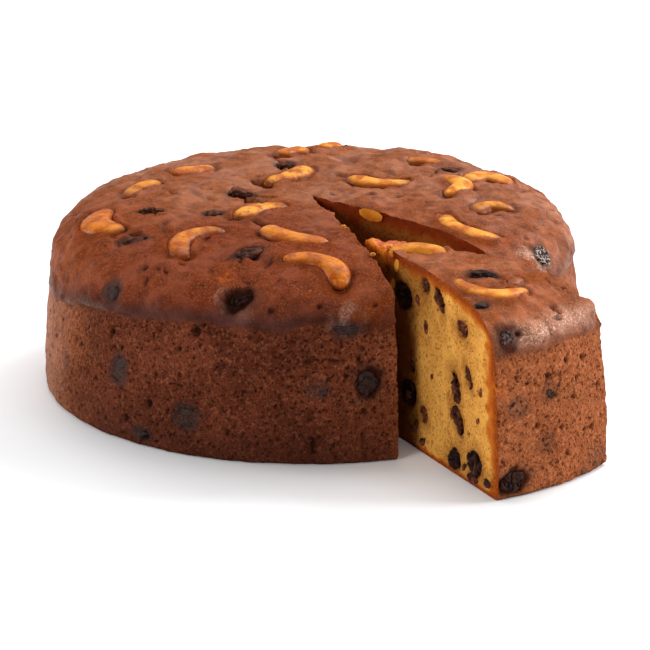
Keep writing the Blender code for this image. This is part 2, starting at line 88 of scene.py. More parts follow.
# Nuts in the top: name, ends a and b, bow to the left of a-b, width and depth of the centreline
# below the crust, then shares: fat end, belly on the outside of the bend, how toasted (0 pale to
# 1 dark) and how wrinkled.
CAKE_CASHEWS = (
    ("cashew_left_slope", (-74.5, -6.0), (-68.5, -32.0), -6.5, 10.4, 1.6, 0.0, 0.45, 0.95, 0.6),
    ("cashew_left_rear", (-69.0, 7.0), (-56.0, 19.5), 2.9, 8.0, 1.6, -0.6, 0.15, 0.2, 0.4),
    ("cashew_left_far", (-54.0, 32.0), (-38.0, 44.0), -2.2, 9.0, 1.4, 0.5, 0.0, 0.6, 0.8),
    ("cashew_centre_rear", (-18.0, 22.0), (-1.0, 39.0), -2.0, 9.8, 1.6, -0.4, 0.0, 0.22, 1.0),
    ("cashew_centre", (-27.0, -23.0), (-8.5, -5.5), 3.0, 9.6, 1.6, 0.5, 0.1, 0.2, 1.0),
    ("cashew_front_centre", (-16.0, -39.0), (6.0, -55.0), -6.1, 9.2, 0.6, 0.25, 0.05, 0.72, 0.4),
    ("cashew_front", (-10.5, -74.0), (9.0, -88.5), 7.8, 8.6, 0.5, -0.3, 0.1, 0.85, 0.5),
    ("cashew_front_left", (-45.0, -63.0), (-31.0, -39.0), 8.8, 9.0, 1.8, 0.3, 0.15, 0.7, 0.6),
    ("cashew_far_edge_left", (-13.0, 58.0), (-1.0, 67.0), 0.8, 9.0, 1.4, 0.0, 0.0, 0.8, 0.4),
    ("cashew_far_edge", (3.0, 69.0), (12.0, 74.0), 1.0, 8.0, 0.6, 0.0, 0.0, 0.35, 0.3),
    ("cashew_right_centre", (15.0, 27.0), (37.0, 23.0), -7.2, 8.0, 1.2, 0.5, 0.0, 0.22, 0.5),
    ("cashew_right_far", (36.0, 50.0), (50.0, 48.0), 1.0, 6.8, 1.2, 0.0, 0.0, 0.5, 0.3),
    ("cashew_right_hook", (48.5, 24.5), (49.0, 4.0), 7.2, 8.6, 0.6, -0.3, 0.0, 0.0, 0.5),
    ("cashew_right_edge", (60.5, 20.5), (72.5, 21.0), 8.5, 9.8, 1.6, 0.0, 0.25, 0.22, 0.3),
    ("cashew_right_slope", (61.0, -17.0), (74.0, -12.0), 6.5, 8.2, 1.8, 0.0, 0.0, 0.3, 0.6),
    ("cashew_right_front", (50.0, -23.0), (69.0, -43.0), -8.8, 8.4, 1.2, 0.1, 0.0, 0.24, 0.4),
)
WEDGE_CASHEWS = (
    ("cashew_wedge", (23.5, -55.0), (46.0, -63.5), -9.5, 6.6, 0.8, 0.0, 0.25, 0.35, 0.2),
    ("cashew_wedge_tip", (40.0, -61.0), (46.0, -54.0), -0.6, 5.5, 1.4, 0.0, 0.0, 0.55, 0.6),
)
HALVED_CASHEW = ("cashew_halved", (6.2, -19.0), (24.2, -26.5), 5.6, 7.8, 1.4, 0.0, 0.0, 0.3, 0.3)
BURIED_LEGS = ((0.0273, 0.0640), (0.0243, 0.0565))
BURIED_REACH = 0.0062
BURIED_WIDTH = 0.0052
BURIED_PROUD = 0.0020
CUT_NUT_PROUD = 0.0007
CASHEW_FLATTEN = 0.66
CASHEW_TAPER = 0.24
CASHEW_BROADER = 1.18
CASHEW_BLUNTNESS = 0.34
CASHEW_SIDES = 28
CASHEW_RINGS = 44
CASHEW_CUT_ANGLE = 50.0


# ---------------------------------------------------------------- body shape


def direction(bearing):
    """Level unit vectors at bearings in degrees."""
    angle = np.radians(bearing)
    return np.stack([np.sin(angle), -np.cos(angle), np.zeros_like(angle)], axis=-1)


def smooth(low, high, value):
    """0 below low, 1 above high, and a smooth rise between them."""
    share = np.clip((value - low) / (high - low), 0.0, 1.0)
    return share * share * (3.0 - 2.0 * share)


def lumps(points, wavelength, octaves=3, seed=0.0):
    """Fractal noise of the points, about -1 to 1."""
    placed = (points / wavelength + seed).tolist()
    return np.array([noise.fractal(place, 1.0, 2.0, octaves) for place in placed])


def strays(points, wavelength, octaves, seeds):
    """A fractal shift for each point, with one seed for each of x, y and z."""
    return np.stack([lumps(points, wavelength, octaves, seed) for seed in seeds], axis=1)


def cells(points, wavelength, seed=0.0):
    """Distances to the nearest and second nearest of scattered points, in wavelengths."""
    placed = (points / wavelength + seed).tolist()
    return np.array([noise.voronoi(place)[0][:2] for place in placed])


def dome_height(radius):
    """Height of the even dome at a distance from the axis."""
    share = np.minimum(radius / SHOULDER_RADIUS, 0.9999)
    rise = (1.0 - share**DOME_FULLNESS) ** (1.0 / DOME_FULLNESS)
    return SHOULDER_HEIGHT + DOME_RISE * rise - CENTRE_DIP * (1.0 - share**2) ** 2


def wall_radius(height):
    """Distance of the wall from the axis at a height."""
    rise = np.clip((height - BASE_EDGE) / (RIM_HEIGHT - BASE_EDGE), 0.0, 1.0)
    return BASE_RADIUS - WALL_TAPER * rise + WALL_BULGE * np.sin(math.pi * rise)


def unevenness(points):
    """How far the top stands above or below the even dome."""
    height = np.zeros(len(points))
    for hump_x, hump_y, hump_height, spread in np.array(HUMPS) * MM:
        square = ((points[:, 0] - hump_x) ** 2 + (points[:, 1] - hump_y) ** 2) / spread**2
        height += hump_height * np.exp(-square)
    level = points * (1.0, 1.0, 0.0) / UNEVEN_WAVELENGTH
    return height + UNEVENNESS * np.array([noise.noise(place) for place in level.tolist()])


def top_point(x, y):
    """Point of the uneven top and its outward normal, as Vectors."""
    span = 0.0005
    steps = ((0.0, 0.0), (span, 0.0), (-span, 0.0), (0.0, span), (0.0, -span))
    around = np.array([(x + step_x, y + step_y, 0.0) for step_x, step_y in steps])
    height = dome_height(np.hypot(around[:, 0], around[:, 1])) + unevenness(around)
    normal = Vector((height[2] - height[1], height[4] - height[3], 2.0 * span)).normalized()
    return Vector((x, y, height[0])), normal


def profile():
    """Half outline from the top's middle to the base edge: rows of radius and height, and which are top."""
    sweep = np.sin(np.linspace(0.0, math.pi / 2.0, EVEN_ROUND_TOP))
    radius = SHOULDER_RADIUS * sweep ** (2.0 / DOME_FULLNESS)
    top = np.stack([radius, dome_height(radius)], axis=1)
    top = top[top[:, 1] > RIM_HEIGHT]
    height = np.linspace(RIM_HEIGHT, BASE_EDGE, 200)
    wall = np.stack([wall_radius(height), height], axis=1)
    corner = np.linspace(0.0, math.pi / 2.0, 12)[1:]
    edge_radius = BASE_RADIUS - BASE_EDGE * (1.0 - np.cos(corner))
    edge = np.stack([edge_radius, BASE_EDGE * (1.0 - np.sin(corner))], axis=1)
    line = np.concatenate([top, wall, edge])
    run = np.concatenate([[0.0], np.cumsum(np.hypot(*np.diff(line, axis=0).T))])
    rim = run[len(top)]
    steps = np.concatenate(
        [
            np.linspace(0.0, rim, round(rim / TOP_STEP) + 1)[:-1],
            np.linspace(rim, run[-1], round((run[-1] - rim) / WALL_STEP) + 1),
        ]
    )
    rows = np.stack([np.interp(steps, run, line[:, 0]), np.interp(steps, run, line[:, 1])], axis=1)
    return rows, steps < rim


def out_along(bearing, radius):
    """Distance from the apex, along a bearing, to a circle round the axis."""
    heading = direction(bearing)
    across = heading @ APEX
    whole = np.maximum(radius, MIDDLE_REACH)
    reach = -across + np.sqrt(across**2 - APEX @ APEX + whole**2)
    return reach * np.minimum(radius / MIDDLE_REACH, 1.0)


def stitch(faces, near, far, material):
    """Triangles between two rows of (vertex, share along the row)."""
    i = j = 0
    while i < len(near) - 1 or j < len(far) - 1:
        near_next = near[i + 1][1] if i < len(near) - 1 else 9.0
        far_next = far[j + 1][1] if j < len(far) - 1 else 9.0
        if near_next <= far_next:
            faces.append((near[i][0], far[j][0], near[i + 1][0], material))
            i += 1
        else:
            faces.append((near[i][0], far[j][0], far[j + 1][0], material))
            j += 1


def spread_bearings(start, end, count):
    """Bearings from start to end, closer together in front than behind."""
    fine = np.linspace(start, end, 721)
    away = np.abs((fine + 180.0) % 360.0 - 180.0)
    density = 1.0 / (1.0 + COARSER_BEHIND * smooth(95.0, 150.0, away))
    run = np.concatenate([[0.0], np.cumsum((density[1:] + density[:-1]) / 2.0)])
    return np.interp(np.linspace(0.0, run[-1], count + 1), run, fine), run[-1] / (len(fine) - 1)


def carved(start, end):
    """Skin of the cake between two cuts: points, triangles, rows, and how far out the rows' ends are."""
    rows, on_top = profile()
    points, faces = [APEX + (0.0, 0.0, dome_height(APEX[1]))], []
    skin = [[(0, 0.0), (0, 1.0)]]
    reach_start, reach_end = [0.0], [0.0]
    for (radius, height), top in zip(rows[1:], on_top[1:]):
        step = TOP_STEP if top else WALL_STEP
        share = spread_bearings(start, end, 1)[1]
        arc = radius * math.radians(end - start) * share
        bearings, _ = spread_bearings(start, end, max(1, round(arc / step)))
        reach = out_along(bearings, radius)
        placed = APEX + direction(bearings) * reach[:, None]
        placed[:, 2] = dome_height(np.hypot(placed[:, 0], placed[:, 1])) if top else height
        first = len(points)
        points.extend(placed)
        shares = np.linspace(0.0, 1.0, len(placed))
        skin.append([(first + n, share) for n, share in enumerate(shares)])
        reach_start.append(reach[0])
        reach_end.append(reach[-1])
    stitch(faces, skin[1], [(0, 0.0)], 0)
    faces[-len(skin[1]) + 1 :] = [(a, c, b, m) for a, b, c, m in faces[-len(skin[1]) + 1 :]]
    for near, far in zip(skin[1:], skin[2:]):
        stitch(faces, near, far, 0)
    return points, faces, skin, (reach_start, reach_end)


def cut_face(points, faces, skin, reach, bearing, side, spine):
    """Fills one cut face with columns under the skin's edge. Returns its bottom row, apex first."""
    rim_reach = out_along(bearing, wall_radius(RIM_HEIGHT))
    edge = [row[side][0] for row in skin]
    bottom = [(spine[-1], 0.0)]
    column, last, between = spine, 0.0, []
    heading = direction(bearing)
    for row in range(1, len(edge)):
        top = points[edge[row]]
        if reach[row] - last < 0.7 * CUT_STEP or top[2] < RIM_HEIGHT:
            between.append(edge[row])
            if top[2] >= RIM_HEIGHT:
                continue
            break
        count = max(2, round(top[2] / CUT_STEP))
        heights = np.linspace(top[2], 0.0, count + 1)[1:]
        corner = np.clip(1.0 - heights / BASE_EDGE, 0.0, 1.0)
        wall = out_along(bearing, wall_radius(heights)) - BASE_EDGE * corner
        lean = (wall - rim_reach) * (reach[row] / rim_reach) ** 6 * (heights < RIM_HEIGHT)
        placed = APEX + heading * (reach[row] + lean)[:, None]
        placed[:, 2] = heights
        first = len(points)
        points.extend(placed)
        fresh = [edge[row]] + list(range(first, first + count))
        near = [(vertex, n / (len(column) - 1)) for n, vertex in enumerate(column)]
        far = [(vertex, 0.0) for vertex in between]
        far += [(vertex, n / count) for n, vertex in enumerate(fresh)]
        _face_strip(faces, near, far, side)
        column, last, between = fresh, reach[row], []
        bottom.append((fresh[-1], reach[row]))
    tail = [vertex for vertex in edge[edge.index(between[0]) :]] if between else edge[row:]
    near = [(vertex, n / (len(column) - 1)) for n, vertex in enumerate(column)]
    drop = points[tail[0]][2]
    far = [(vertex, 1.0 - points[vertex][2] / drop) for vertex in tail]
    _face_strip(faces, near, far, side)
    return bottom


def _face_strip(faces, near, far, side):
    """Joins two columns of a cut face, facing out."""
    made = []
    stitch(made, near, far, 1)
    faces.extend((a, c, b, m) if side == 0 else (a, b, c, m) for a, b, c, m in made)


def body(start, end):
    """Whole carved body: points, triangles with their material (0 skin, 1 cut face, 2 underside)."""
    points, faces, skin, reach = carved(start, end)
    count = round(points[0][2] / CUT_STEP)
    heights = np.linspace(points[0][2], 0.0, count + 1)[1:]
    first = len(points)
    points.extend(APEX * (1.0, 1.0, 0.0) + (0.0, 0.0, height) for height in heights)
    spine = [0] + list(range(first, first + count))
    low_start = cut_face(points, faces, skin, reach[0], start, 0, spine)
    low_end = cut_face(points, faces, skin, reach[1], end, -1, spine)
    ring = [(spine[-1], 0.0), (spine[-1], 1.0)]
    last_start = last_end = 0
    goal = UNDER_STEP
    while goal < BASE_RADIUS - 2.0 * UNDER_STEP:
        now_start = min(n for n, (_, out) in enumerate(low_start) if out >= goal)
        now_end = min(n for n, (_, out) in enumerate(low_end) if out >= goal)
        out_start, out_end = low_start[now_start][1], low_end[now_end][1]
        count = max(2, round(math.radians(end - start) * goal / UNDER_STEP))
        shares = np.linspace(0.0, 1.0, count + 1)[1:-1]
        reaches = out_start + (out_end - out_start) * shares
        placed = APEX + direction(start + (end - start) * shares) * reaches[:, None]
        first = len(points)
        points.extend(placed)
        fresh = [(low_start[now_start][0], 0.0)]
        fresh += [(first + n, share) for n, share in enumerate(shares)]
        fresh += [(low_end[now_end][0], 1.0)]
        between_start, between_end = low_start[last_start + 1 : now_start], low_end[last_end + 1 : now_end]
        _under_strip(faces, ring, between_start, fresh, between_end)
        ring, last_start, last_end = fresh, now_start, now_end
        goal = max(out_start, out_end) + UNDER_STEP
    _under_strip(faces, ring, low_start[last_start + 1 :], skin[-1], low_end[last_end + 1 :])
    return np.array(points), faces


def _under_strip(faces, near, left_extra, fresh, right_extra):
    """Joins two rings of the underside, with what the cut faces leave between them."""
    far = [(vertex, 0.0) for vertex, _ in left_extra] + fresh
    far += [(vertex, 1.0) for vertex, _ in reversed(right_extra)]
    made = []
    stitch(made, near, far, 2)
    faces.extend((a, c, b, m) for a, b, c, m in made if len({a, b, c}) == 3)


def make_mesh(name, points, faces):
    """A smooth-shaded mesh of points and triangles, with each triangle's material."""
    mesh = bpy.data.meshes.new(name)
    faces = np.array([face for face in faces if len(set(face[:3])) == 3])
    mesh.from_pydata(points.tolist(), [], faces[:, :3].tolist())
    mesh.polygons.foreach_set("material_index", faces[:, 3].astype(np.int32))
    mesh.shade_smooth()
    mesh.update()
    return mesh


# ---------------------------------------------------------------- the wedge's way out, the fruit's places


def wedge_seat():
    """Matrix that takes the wedge from the uncut cake to where it was drawn."""
    apex = Vector(APEX)
    turn = Matrix.Rotation(math.radians(WEDGE_TURN), 4, "Z")
    return Matrix.Translation(WEDGE_MOVE) @ Matrix.Translation(apex) @ turn @ Matrix.Translation(-apex)


SEAT = wedge_seat()
STAY = Matrix.Identity(4)


def moved(points, matrix):
    """Points taken through a matrix."""
    matrix = np.array(matrix)
    return points @ matrix[:3, :3].T + matrix[:3, 3]


def mesh_of(shape, name):
    """A smooth-shaded mesh of a finished shape, which it frees."""
    mesh = bpy.data.meshes.new(name)
    shape.to_mesh(mesh)
    shape.free()
    mesh.shade_smooth()
    return mesh


def mesh_points(mesh):
    """The mesh's points as rows."""
    points = np.empty(len(mesh.vertices) * 3)
    mesh.vertices.foreach_get("co", points)
    return points.reshape(-1, 3)


def mesh_normals(mesh):
    """The outward direction at each point of the mesh."""
    normals = np.empty(len(mesh.vertices) * 3, np.float32)
    mesh.vertex_normals.foreach_get("vector", normals)
    return normals.reshape(-1, 3).astype(float)


def set_points(mesh, points):
    """Moves the mesh's points to new places."""
    mesh.vertices.foreach_set("co", points.astype(np.float32).ravel())
    mesh.update()


def paint(mesh, name, values):
    """Stores a number at each point, or one number at all of them, for the materials to read."""
    layer = mesh.attributes.get(name) or mesh.attributes.new(name, "FLOAT", "POINT")
    layer.data.foreach_set("value", np.full(len(mesh.vertices), values, np.float32))


def seated_fruit(name, seat):
    """Centre, long axes and half sizes of a raisin's solid, in the uncut cake."""
    points = moved(mesh_points(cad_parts[name].data), seat.inverted())
    centre = (points.max(axis=0) + points.min(axis=0)) / 2.0
    axes = np.linalg.svd(points - points.mean(axis=0), full_matrices=False)[2]
    half = np.abs((points - centre) @ axes.T).max(axis=0)
    return centre, axes, half


def nearness(points, fruit, margin):
    """Distance from a raisin's middle, 1 where its side plus the margin is."""
    centre, axes, half = fruit
    return np.linalg.norm((points - centre) @ axes.T / (half + margin), axis=1)


# ---------------------------------------------------------------- nuts


def bend_along(chord, bow, share):
    """Place and heading along an arc over a chord, share running from -1 to 1."""
    bow = bow if abs(bow) > 0.0004 else 0.0004
    radius = (chord**2 / 4.0 + bow**2) / (2.0 * abs(bow))
    half_angle = math.asin(min(1.0, chord / (2.0 * radius)))
    if abs(bow) > chord / 2.0:
        half_angle = math.pi - half_angle
    angle = share * half_angle
    side = 1.0 if bow > 0.0 else -1.0
    return radius * math.sin(angle), side * (abs(bow) - radius + radius * math.cos(angle)), -side * angle


def lying_on_top(end_a, end_b, depth):
    """Placement for a nut that lies in the top crust."""
    start, end = Vector((*end_a, 0.0)) * MM, Vector((*end_b, 0.0)) * MM
    middle = (start + end) / 2.0
    forward = (end - start).normalized()
    leftward = Vector((-forward.y, forward.x, 0.0))

    def place(along, across, up):
        spot = middle + forward * along + leftward * across
        point, normal = top_point(spot.x, spot.y)
        return point + normal * (up - depth * MM)

    return place, (end - start).length


def standing_in_wedge():
    """Placement for the nut on edge inside the wedge's point."""
    outward = Vector(direction(LEFT_CUT - 90.0))
    along_cut = Vector(direction(LEFT_CUT))
    ends = [Vector(APEX) + along_cut * reach + Vector((0.0, 0.0, height)) for reach, height in BURIED_LEGS]
    middle = (ends[0] + ends[1]) / 2.0 + outward * BURIED_PROUD
    forward = (ends[1] - ends[0]).normalized()
    side = outward.cross(forward)

    def place(along, across, up):
        return middle + forward * along - outward * across + side * up

    return place, (ends[1] - ends[0]).length


def nut_half_width(width, fat_end, share):
    """Half width of a nut along its length, before its rounded ends and its waist."""
    return CASHEW_BROADER * width / 2.0 * (1.0 - CASHEW_TAPER * fat_end * math.tanh(2.2 * share))


def cashew_mesh(name, place, chord, bow, width, fat_end, belly, toast, wrinkled):
    """A roasted cashew: a bent, blunt sausage with a dimple inside its bend and a seam round its back."""
    shape = bmesh.new()
    bmesh.ops.create_uvsphere(shape, u_segments=CASHEW_SIDES, v_segments=CASHEW_RINGS, radius=1.0)
    bmesh.ops.rotate(shape, verts=shape.verts, matrix=Matrix.Rotation(math.pi / 2.0, 3, "Y"))
    side = 1.0 if bow > 0.0 else -1.0
    wave = random.Random(name).uniform(0.0, 6.0)
    for vertex in shape.verts:
        share = vertex.co.x
        roundness = math.hypot(vertex.co.y, vertex.co.z)
        blunt = roundness**-CASHEW_BLUNTNESS if roundness > 0.01 else 1.0
        waist = 1.0 - 0.07 * math.exp(-((share / 0.45) ** 2)) + 0.03 * math.sin(3.0 * share + wave)
        half = blunt * waist * nut_half_width(width, fat_end, share)
        inner = -side * vertex.co.y / max(roundness, 0.01)
        seam = 0.05 * math.exp(-(((vertex.co.z + 0.1) / 0.16) ** 2)) * smooth(0.2, 0.9, -inner)
        mid_nut = math.exp(-((share / 0.5) ** 2))
        dimple = 0.10 * smooth(0.55, 1.0, inner) * mid_nut
        half *= 1.0 - seam - dimple + belly * smooth(0.0, 1.0, -inner) * mid_nut
        across_nut = vertex.co.y * half
        up = vertex.co.z * half * CASHEW_FLATTEN
        along, across, heading = bend_along(chord, bow, share)
        along -= math.sin(heading) * across_nut
        across += math.cos(heading) * across_nut
        vertex.co = place(along, across, up)
    bmesh.ops.recalc_face_normals(shape, faces=shape.faces)
    mesh = mesh_of(shape, name)
    points, normals = mesh_points(mesh), mesh_normals(mesh)
    skin = 0.00013 * lumps(points, 0.006, 2, wave) + 0.00003 * lumps(points, 0.0012, 2, wave)
    folds = np.abs(lumps(points, 0.0042, 2, 9.0 + wave))
    skin += wrinkled * 0.0007 * (np.minimum(folds, 0.35) - 0.25)
    set_points(mesh, points + normals * skin[:, None])
    above = np.array([point[2] - top_point(point[0], point[1])[0].z for point in points])
    axis = points[-1] - points[0]
    ends = (points - points.mean(axis=0)) @ axis / max(1e-9, (axis**2).sum())
    browner = toast + 0.5 * ends * math.sin(5.0 * wave) + 0.26 * lumps(points, 0.006, 3, wave)
    paint(mesh, "toast", np.clip(browner, 0.0, 1.0))
    # Painted shade in the wrinkles' creases.
    paint(mesh, "crease", wrinkled * smooth(0.16, 0.0, folds))
    # The nut is darker towards the crust: partly the crust's film over it, partly painted shade.
    paint(mesh, "sunk_film_and_shade", smooth(0.0017, -0.0003, above + 0.0004 * lumps(points, 0.0040, 2, 35.0 + wave)))
    # Painted highlight: the upper faces of the nut are painted paler.
    upward = smooth(0.45, 0.98, mesh_normals(mesh)[:, 2])
    paint(mesh, "paleness_and_highlight", upward * smooth(-0.25, 0.25, lumps(points, 0.0050, 2, 33.0 + wave)))
    return mesh


def add_piece(name, mesh, material, node, matrix=STAY):
    """Puts a finished piece in the scene in place of its solid."""
    mesh.transform(matrix)
    for one in material if isinstance(material, tuple) else (material,):
        mesh.materials.append(one)
    piece = bpy.data.objects.new(name, mesh)
    bpy.context.scene.collection.objects.link(piece)
    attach(piece, "root")
    if node:
        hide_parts(node)
    return piece


def cut_off(mesh, bearing, side):
    """Cuts a nut flat at the knife's plane and closes it."""
    shape = bmesh.new()
    shape.from_mesh(mesh)
    normal = Vector(direction(bearing + 90.0)) * side
    cut = bmesh.ops.bisect_plane(
        shape, geom=shape.verts[:] + shape.edges[:] + shape.faces[:], dist=1e-6,
        plane_co=Vector(APEX), plane_no=normal, clear_outer=True,
    )
    edges = [piece for piece in cut["geom_cut"] if isinstance(piece, bmesh.types.BMEdge)]
    bmesh.ops.contextual_create(shape, geom=edges)
    shape.to_mesh(mesh)
    shape.free()
    mesh.set_sharp_from_angle(angle=math.radians(CASHEW_CUT_ANGLE))


def roasted(name, row):
    """Finished mesh of a nut that lies in the top crust."""
    _, end_a, end_b, bow, width, depth, *looks = row
    place, chord = lying_on_top(end_a, end_b, depth)
    return cashew_mesh(name + "_roasted", place, chord, bow * MM, width * MM, *looks)


def add_cashews(material):
    """Nuts in both tops, the two halves of the parted nut, and the nut sliced in the wedge's point."""
    for rows, seat in ((CAKE_CASHEWS, STAY), (WEDGE_CASHEWS, SEAT)):
        for row in rows:
            add_piece(row[0] + "_roasted", roasted(row[0], row), material, row[0], seat)
    halves = (
        ("cashew_halved_cake", RIGHT_CUT, -1.0, STAY),
        ("cashew_halved_wedge", RIGHT_CUT + WEDGE_OPENS, 1.0, SEAT),
    )
    for name, bearing, side, seat in halves:
        mesh = roasted(name, HALVED_CASHEW)
        cut_off(mesh, bearing, side)
        mesh.transform(Matrix.Translation(Vector(direction(bearing + 90.0)) * side * CUT_NUT_PROUD))
        paint(mesh, "sunk_film_and_shade", 0.05)
        # The halves are painted paler in patches.
        paint(mesh, "paleness_and_highlight", np.clip(0.45 + 0.8 * lumps(mesh_points(mesh), 0.0045, 2, 37.0), 0.0, 1.0))
        add_piece(name + "_roasted", mesh, material, name, seat)
    place, chord = standing_in_wedge()
    mesh = cashew_mesh("cashew_buried_roasted", place, chord, BURIED_REACH, BURIED_WIDTH, 0.0, 0.0, 0.1, 0.3)
    cut_off(mesh, LEFT_CUT, -1.0)
    paint(mesh, "sunk_film_and_shade", 0.0)
    # The nut in the point is painted pale all over.
    paint(mesh, "paleness_and_highlight", 1.0)
    add_piece("cashew_buried_roasted", mesh, material, "cashew_buried", SEAT)


# ---------------------------------------------------------------- raisins

# Raisins whose skin lies under a film of baked crust, and how thick that film is.
FILMED = {
    "raisin_side_left": 1.0, "raisin_side_front": 1.0, "raisin_side_middle": 0.9, "raisin_side_foot": 0.8,
    "raisin_rim_patch": 0.7, "raisin_shoulder_left": 0.7, "raisin_wedge_side_upper": 1.0,
    "raisin_wedge_side_middle": 1.0, "raisin_wedge_side_lower": 1.0, "raisin_wedge_front": 0.5,
    "raisin_top_left": 0.35, "raisin_side_right": 0.3, "raisin_wedge_rim": 0.3, "raisin_top_front": 0.25,
}
# Raisins that only tint the crust over them, and how strongly.
STAIN_DEPTH = {
    "raisin_wedge_side_upper": 0.6, "raisin_wedge_side_middle": 0.45, "raisin_wedge_side_lower": 0.4,
    "raisin_side_middle": 0.7, "raisin_rim_patch": 0.8, "raisin_wedge_front": 0.6,
}
# Raisins that the knife opened to their redder flesh.
RUDDY = {
    "raisin_cut_red": 0.7, "raisin_cut_middle": 0.30, "raisin_cut_middle_small": 0.25, "raisin_cut_low": 0.2,
    "raisin_cut_long": 0.2, "raisin_cut_inner_low": 0.5, "raisin_cut_under_crust": 0.3,
}
# Raisins with white grains on them, sugar bloom with painted highlights, and how many, and raisins that
# shrank into their holes and by how many millimetres.
BLOOM_AND_SHEEN_ON_RAISINS = {"raisin_shoulder_right": 0.60, "raisin_wedge_rim": 0.12}
SHRUNK = {
    "raisin_torn_crust": 1.3, "raisin_wedge_rim": 0.6, "raisin_wedge_front": 0.4, "raisin_top_rear": 0.6,
    "raisin_top_right": 0.4, "raisin_wedge_side_upper": 0.5, "raisin_wedge_side_middle": 0.3,
    "raisin_wedge_side_lower": 0.4,
}
RAISIN_VOXEL = 0.00030


def remeshed(source, voxel, rounds):
    """The mesh rebuilt from even small faces and smoothed."""
    helper = bpy.data.objects.new("helper", source)
    bpy.context.scene.collection.objects.link(helper)
    remesh = helper.modifiers.new("even", "REMESH")
    remesh.mode = "VOXEL"
    remesh.voxel_size = voxel
    rounder = helper.modifiers.new("round", "SMOOTH")
    rounder.iterations = rounds
    graph = bpy.context.evaluated_depsgraph_get()
    made = bpy.data.meshes.new_from_object(helper.evaluated_get(graph))
    bpy.data.objects.remove(helper, do_unlink=True)
    return made


def raisin_mesh(name):
    """A raisin grown from its solid: rounded, then folded into wrinkles."""
    mesh = remeshed(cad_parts[name].data.copy(), RAISIN_VOXEL, 9)
    mesh.materials.clear()
    points, normals = mesh_points(mesh), mesh_normals(mesh)
    wave = random.Random(name).uniform(0.0, 9.0)
    folds = np.abs(lumps(points, 0.0034, 2, wave))
    film = FILMED.get(name, 0.0)
    depth = 0.0002 - 0.0012 * film - 0.0009 * (1.0 - film) * smooth(0.22, 0.0, folds)
    depth += 0.00030 * film * lumps(points, 0.0030, 3, 5.0 + wave) - SHRUNK.get(name, 0.0) * MM
    depth += 0.00015 * lumps(points, 0.0009, 2, wave)
    if name.startswith("raisin_cut"):
        facing = normals @ Vector(direction(LEFT_CUT - 90.0 - WEDGE_TURN))
        depth -= 0.0005 * smooth(0.6, 1.0, facing) * smooth(-0.2, 0.4, lumps(points, 0.002, 2, wave))
    shift = strays(points, 0.0060, 2, (wave, wave + 7.0, wave + 14.0))
    stray = 0.0014 if name.startswith("raisin_cut") else 0.0008
    set_points(mesh, points + normals * depth[:, None] + stray * shift)
    # Painted shade in the folds of the open skin.
    paint(mesh, "fold_shade", (1.0 - film) * smooth(0.2, 0.0, folds))
    paint(mesh, "film", np.clip(film * (0.85 + 0.5 * lumps(points, 0.002, 2, wave)), 0.0, 1.0))
    paint(mesh, "ruddy", RUDDY.get(name, 0.30 if name.startswith("raisin_top") else 0.0))
    paint(mesh, "bloom_and_sheen", BLOOM_AND_SHEEN_ON_RAISINS.get(name, 0.0))
    mesh.shade_smooth()
    return mesh


def add_raisins(material):
    """A wrinkled raisin for each raisin's solid."""
    for name in sorted(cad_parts):
        if name.startswith("raisin"):
            add_piece(name + "_wrinkled", raisin_mesh(name), material, name)


# Small raisins in the wedge's left cut: distance from the apex, height, length, width, lean in
# radians and redness.
SMALL_RAISINS = (
    (95.5, 4.2, 6.0, 4.2, 0.3, 0.1), (83.5, 2.6, 5.0, 3.6, 0.1, 0.3), (90.5, 8.5, 4.6, 3.2, 1.2, 0.1),
    (42.7, 9.2, 6.2, 4.2, 1.3, 0.8), (47.5, 4.0, 6.6, 4.0, 0.5, 0.9), (90.7, 35.8, 3.6, 2.4, 1.3, 1.0),
    (58.0, 60.6, 4.4, 2.6, 2.4, 0.4), (50.1, 47.9, 5.0, 2.8, 1.8, 0.8), (55.1, 30.9, 2.6, 1.8, 1.0, 0.9),
    (89.0, 25.0, 2.4, 1.8, 1.2, 0.7), (70.0, 21.5, 3.0, 1.8, 1.5, 0.5), (40.0, 30.0, 6.0, 4.4, 1.4, 0.3),
    (36.0, 18.0, 5.6, 4.0, 1.0, 0.4), (44.0, 56.0, 4.0, 3.0, 2.0, 0.5), (87.2, 6.8, 7.0, 3.6, 1.4, 0.1),
    (86.8, 2.2, 5.0, 3.0, 0.2, 0.5), (79.0, 5.0, 4.0, 2.6, 0.9, 0.6),
)
SMALL_RAISIN_PROUD = 0.0007
# Crumbs left on the cake's left edge and on the wedge's point: x, y, height above the crust and size.
LEFT_EDGE_CRUMBS = (
    (11.4, -36.2, -0.1, 0.8), (12.1, -38.6, -0.2, 0.6), (21.5, -66.2, 0.1, 1.0),
)
POINT_CRUMBS = ((7.4, -11.4, -0.8, 1.0), (9.8, -16.0, -0.3, 0.8))


def add_lump(shape, centre, axes, half, wave):
    """Adds one uneven rounded lump with half sizes along three axes, and says how it bulges."""
    made = bmesh.ops.create_icosphere(shape, subdivisions=4, radius=1.0)["verts"]
    round_points = np.array([vertex.co for vertex in made])
    folds = np.abs(lumps(round_points, 0.9, 2, wave + 5.0))
    bulge = 1.0 + 0.30 * lumps(round_points, 1.1, 3, wave) - 0.16 * smooth(0.2, 0.0, folds)
    placed = np.array(centre) + (round_points * bulge[:, None] * half) @ np.array(axes)
    for vertex, place in zip(made, placed):
        vertex.co = place
    return bulge


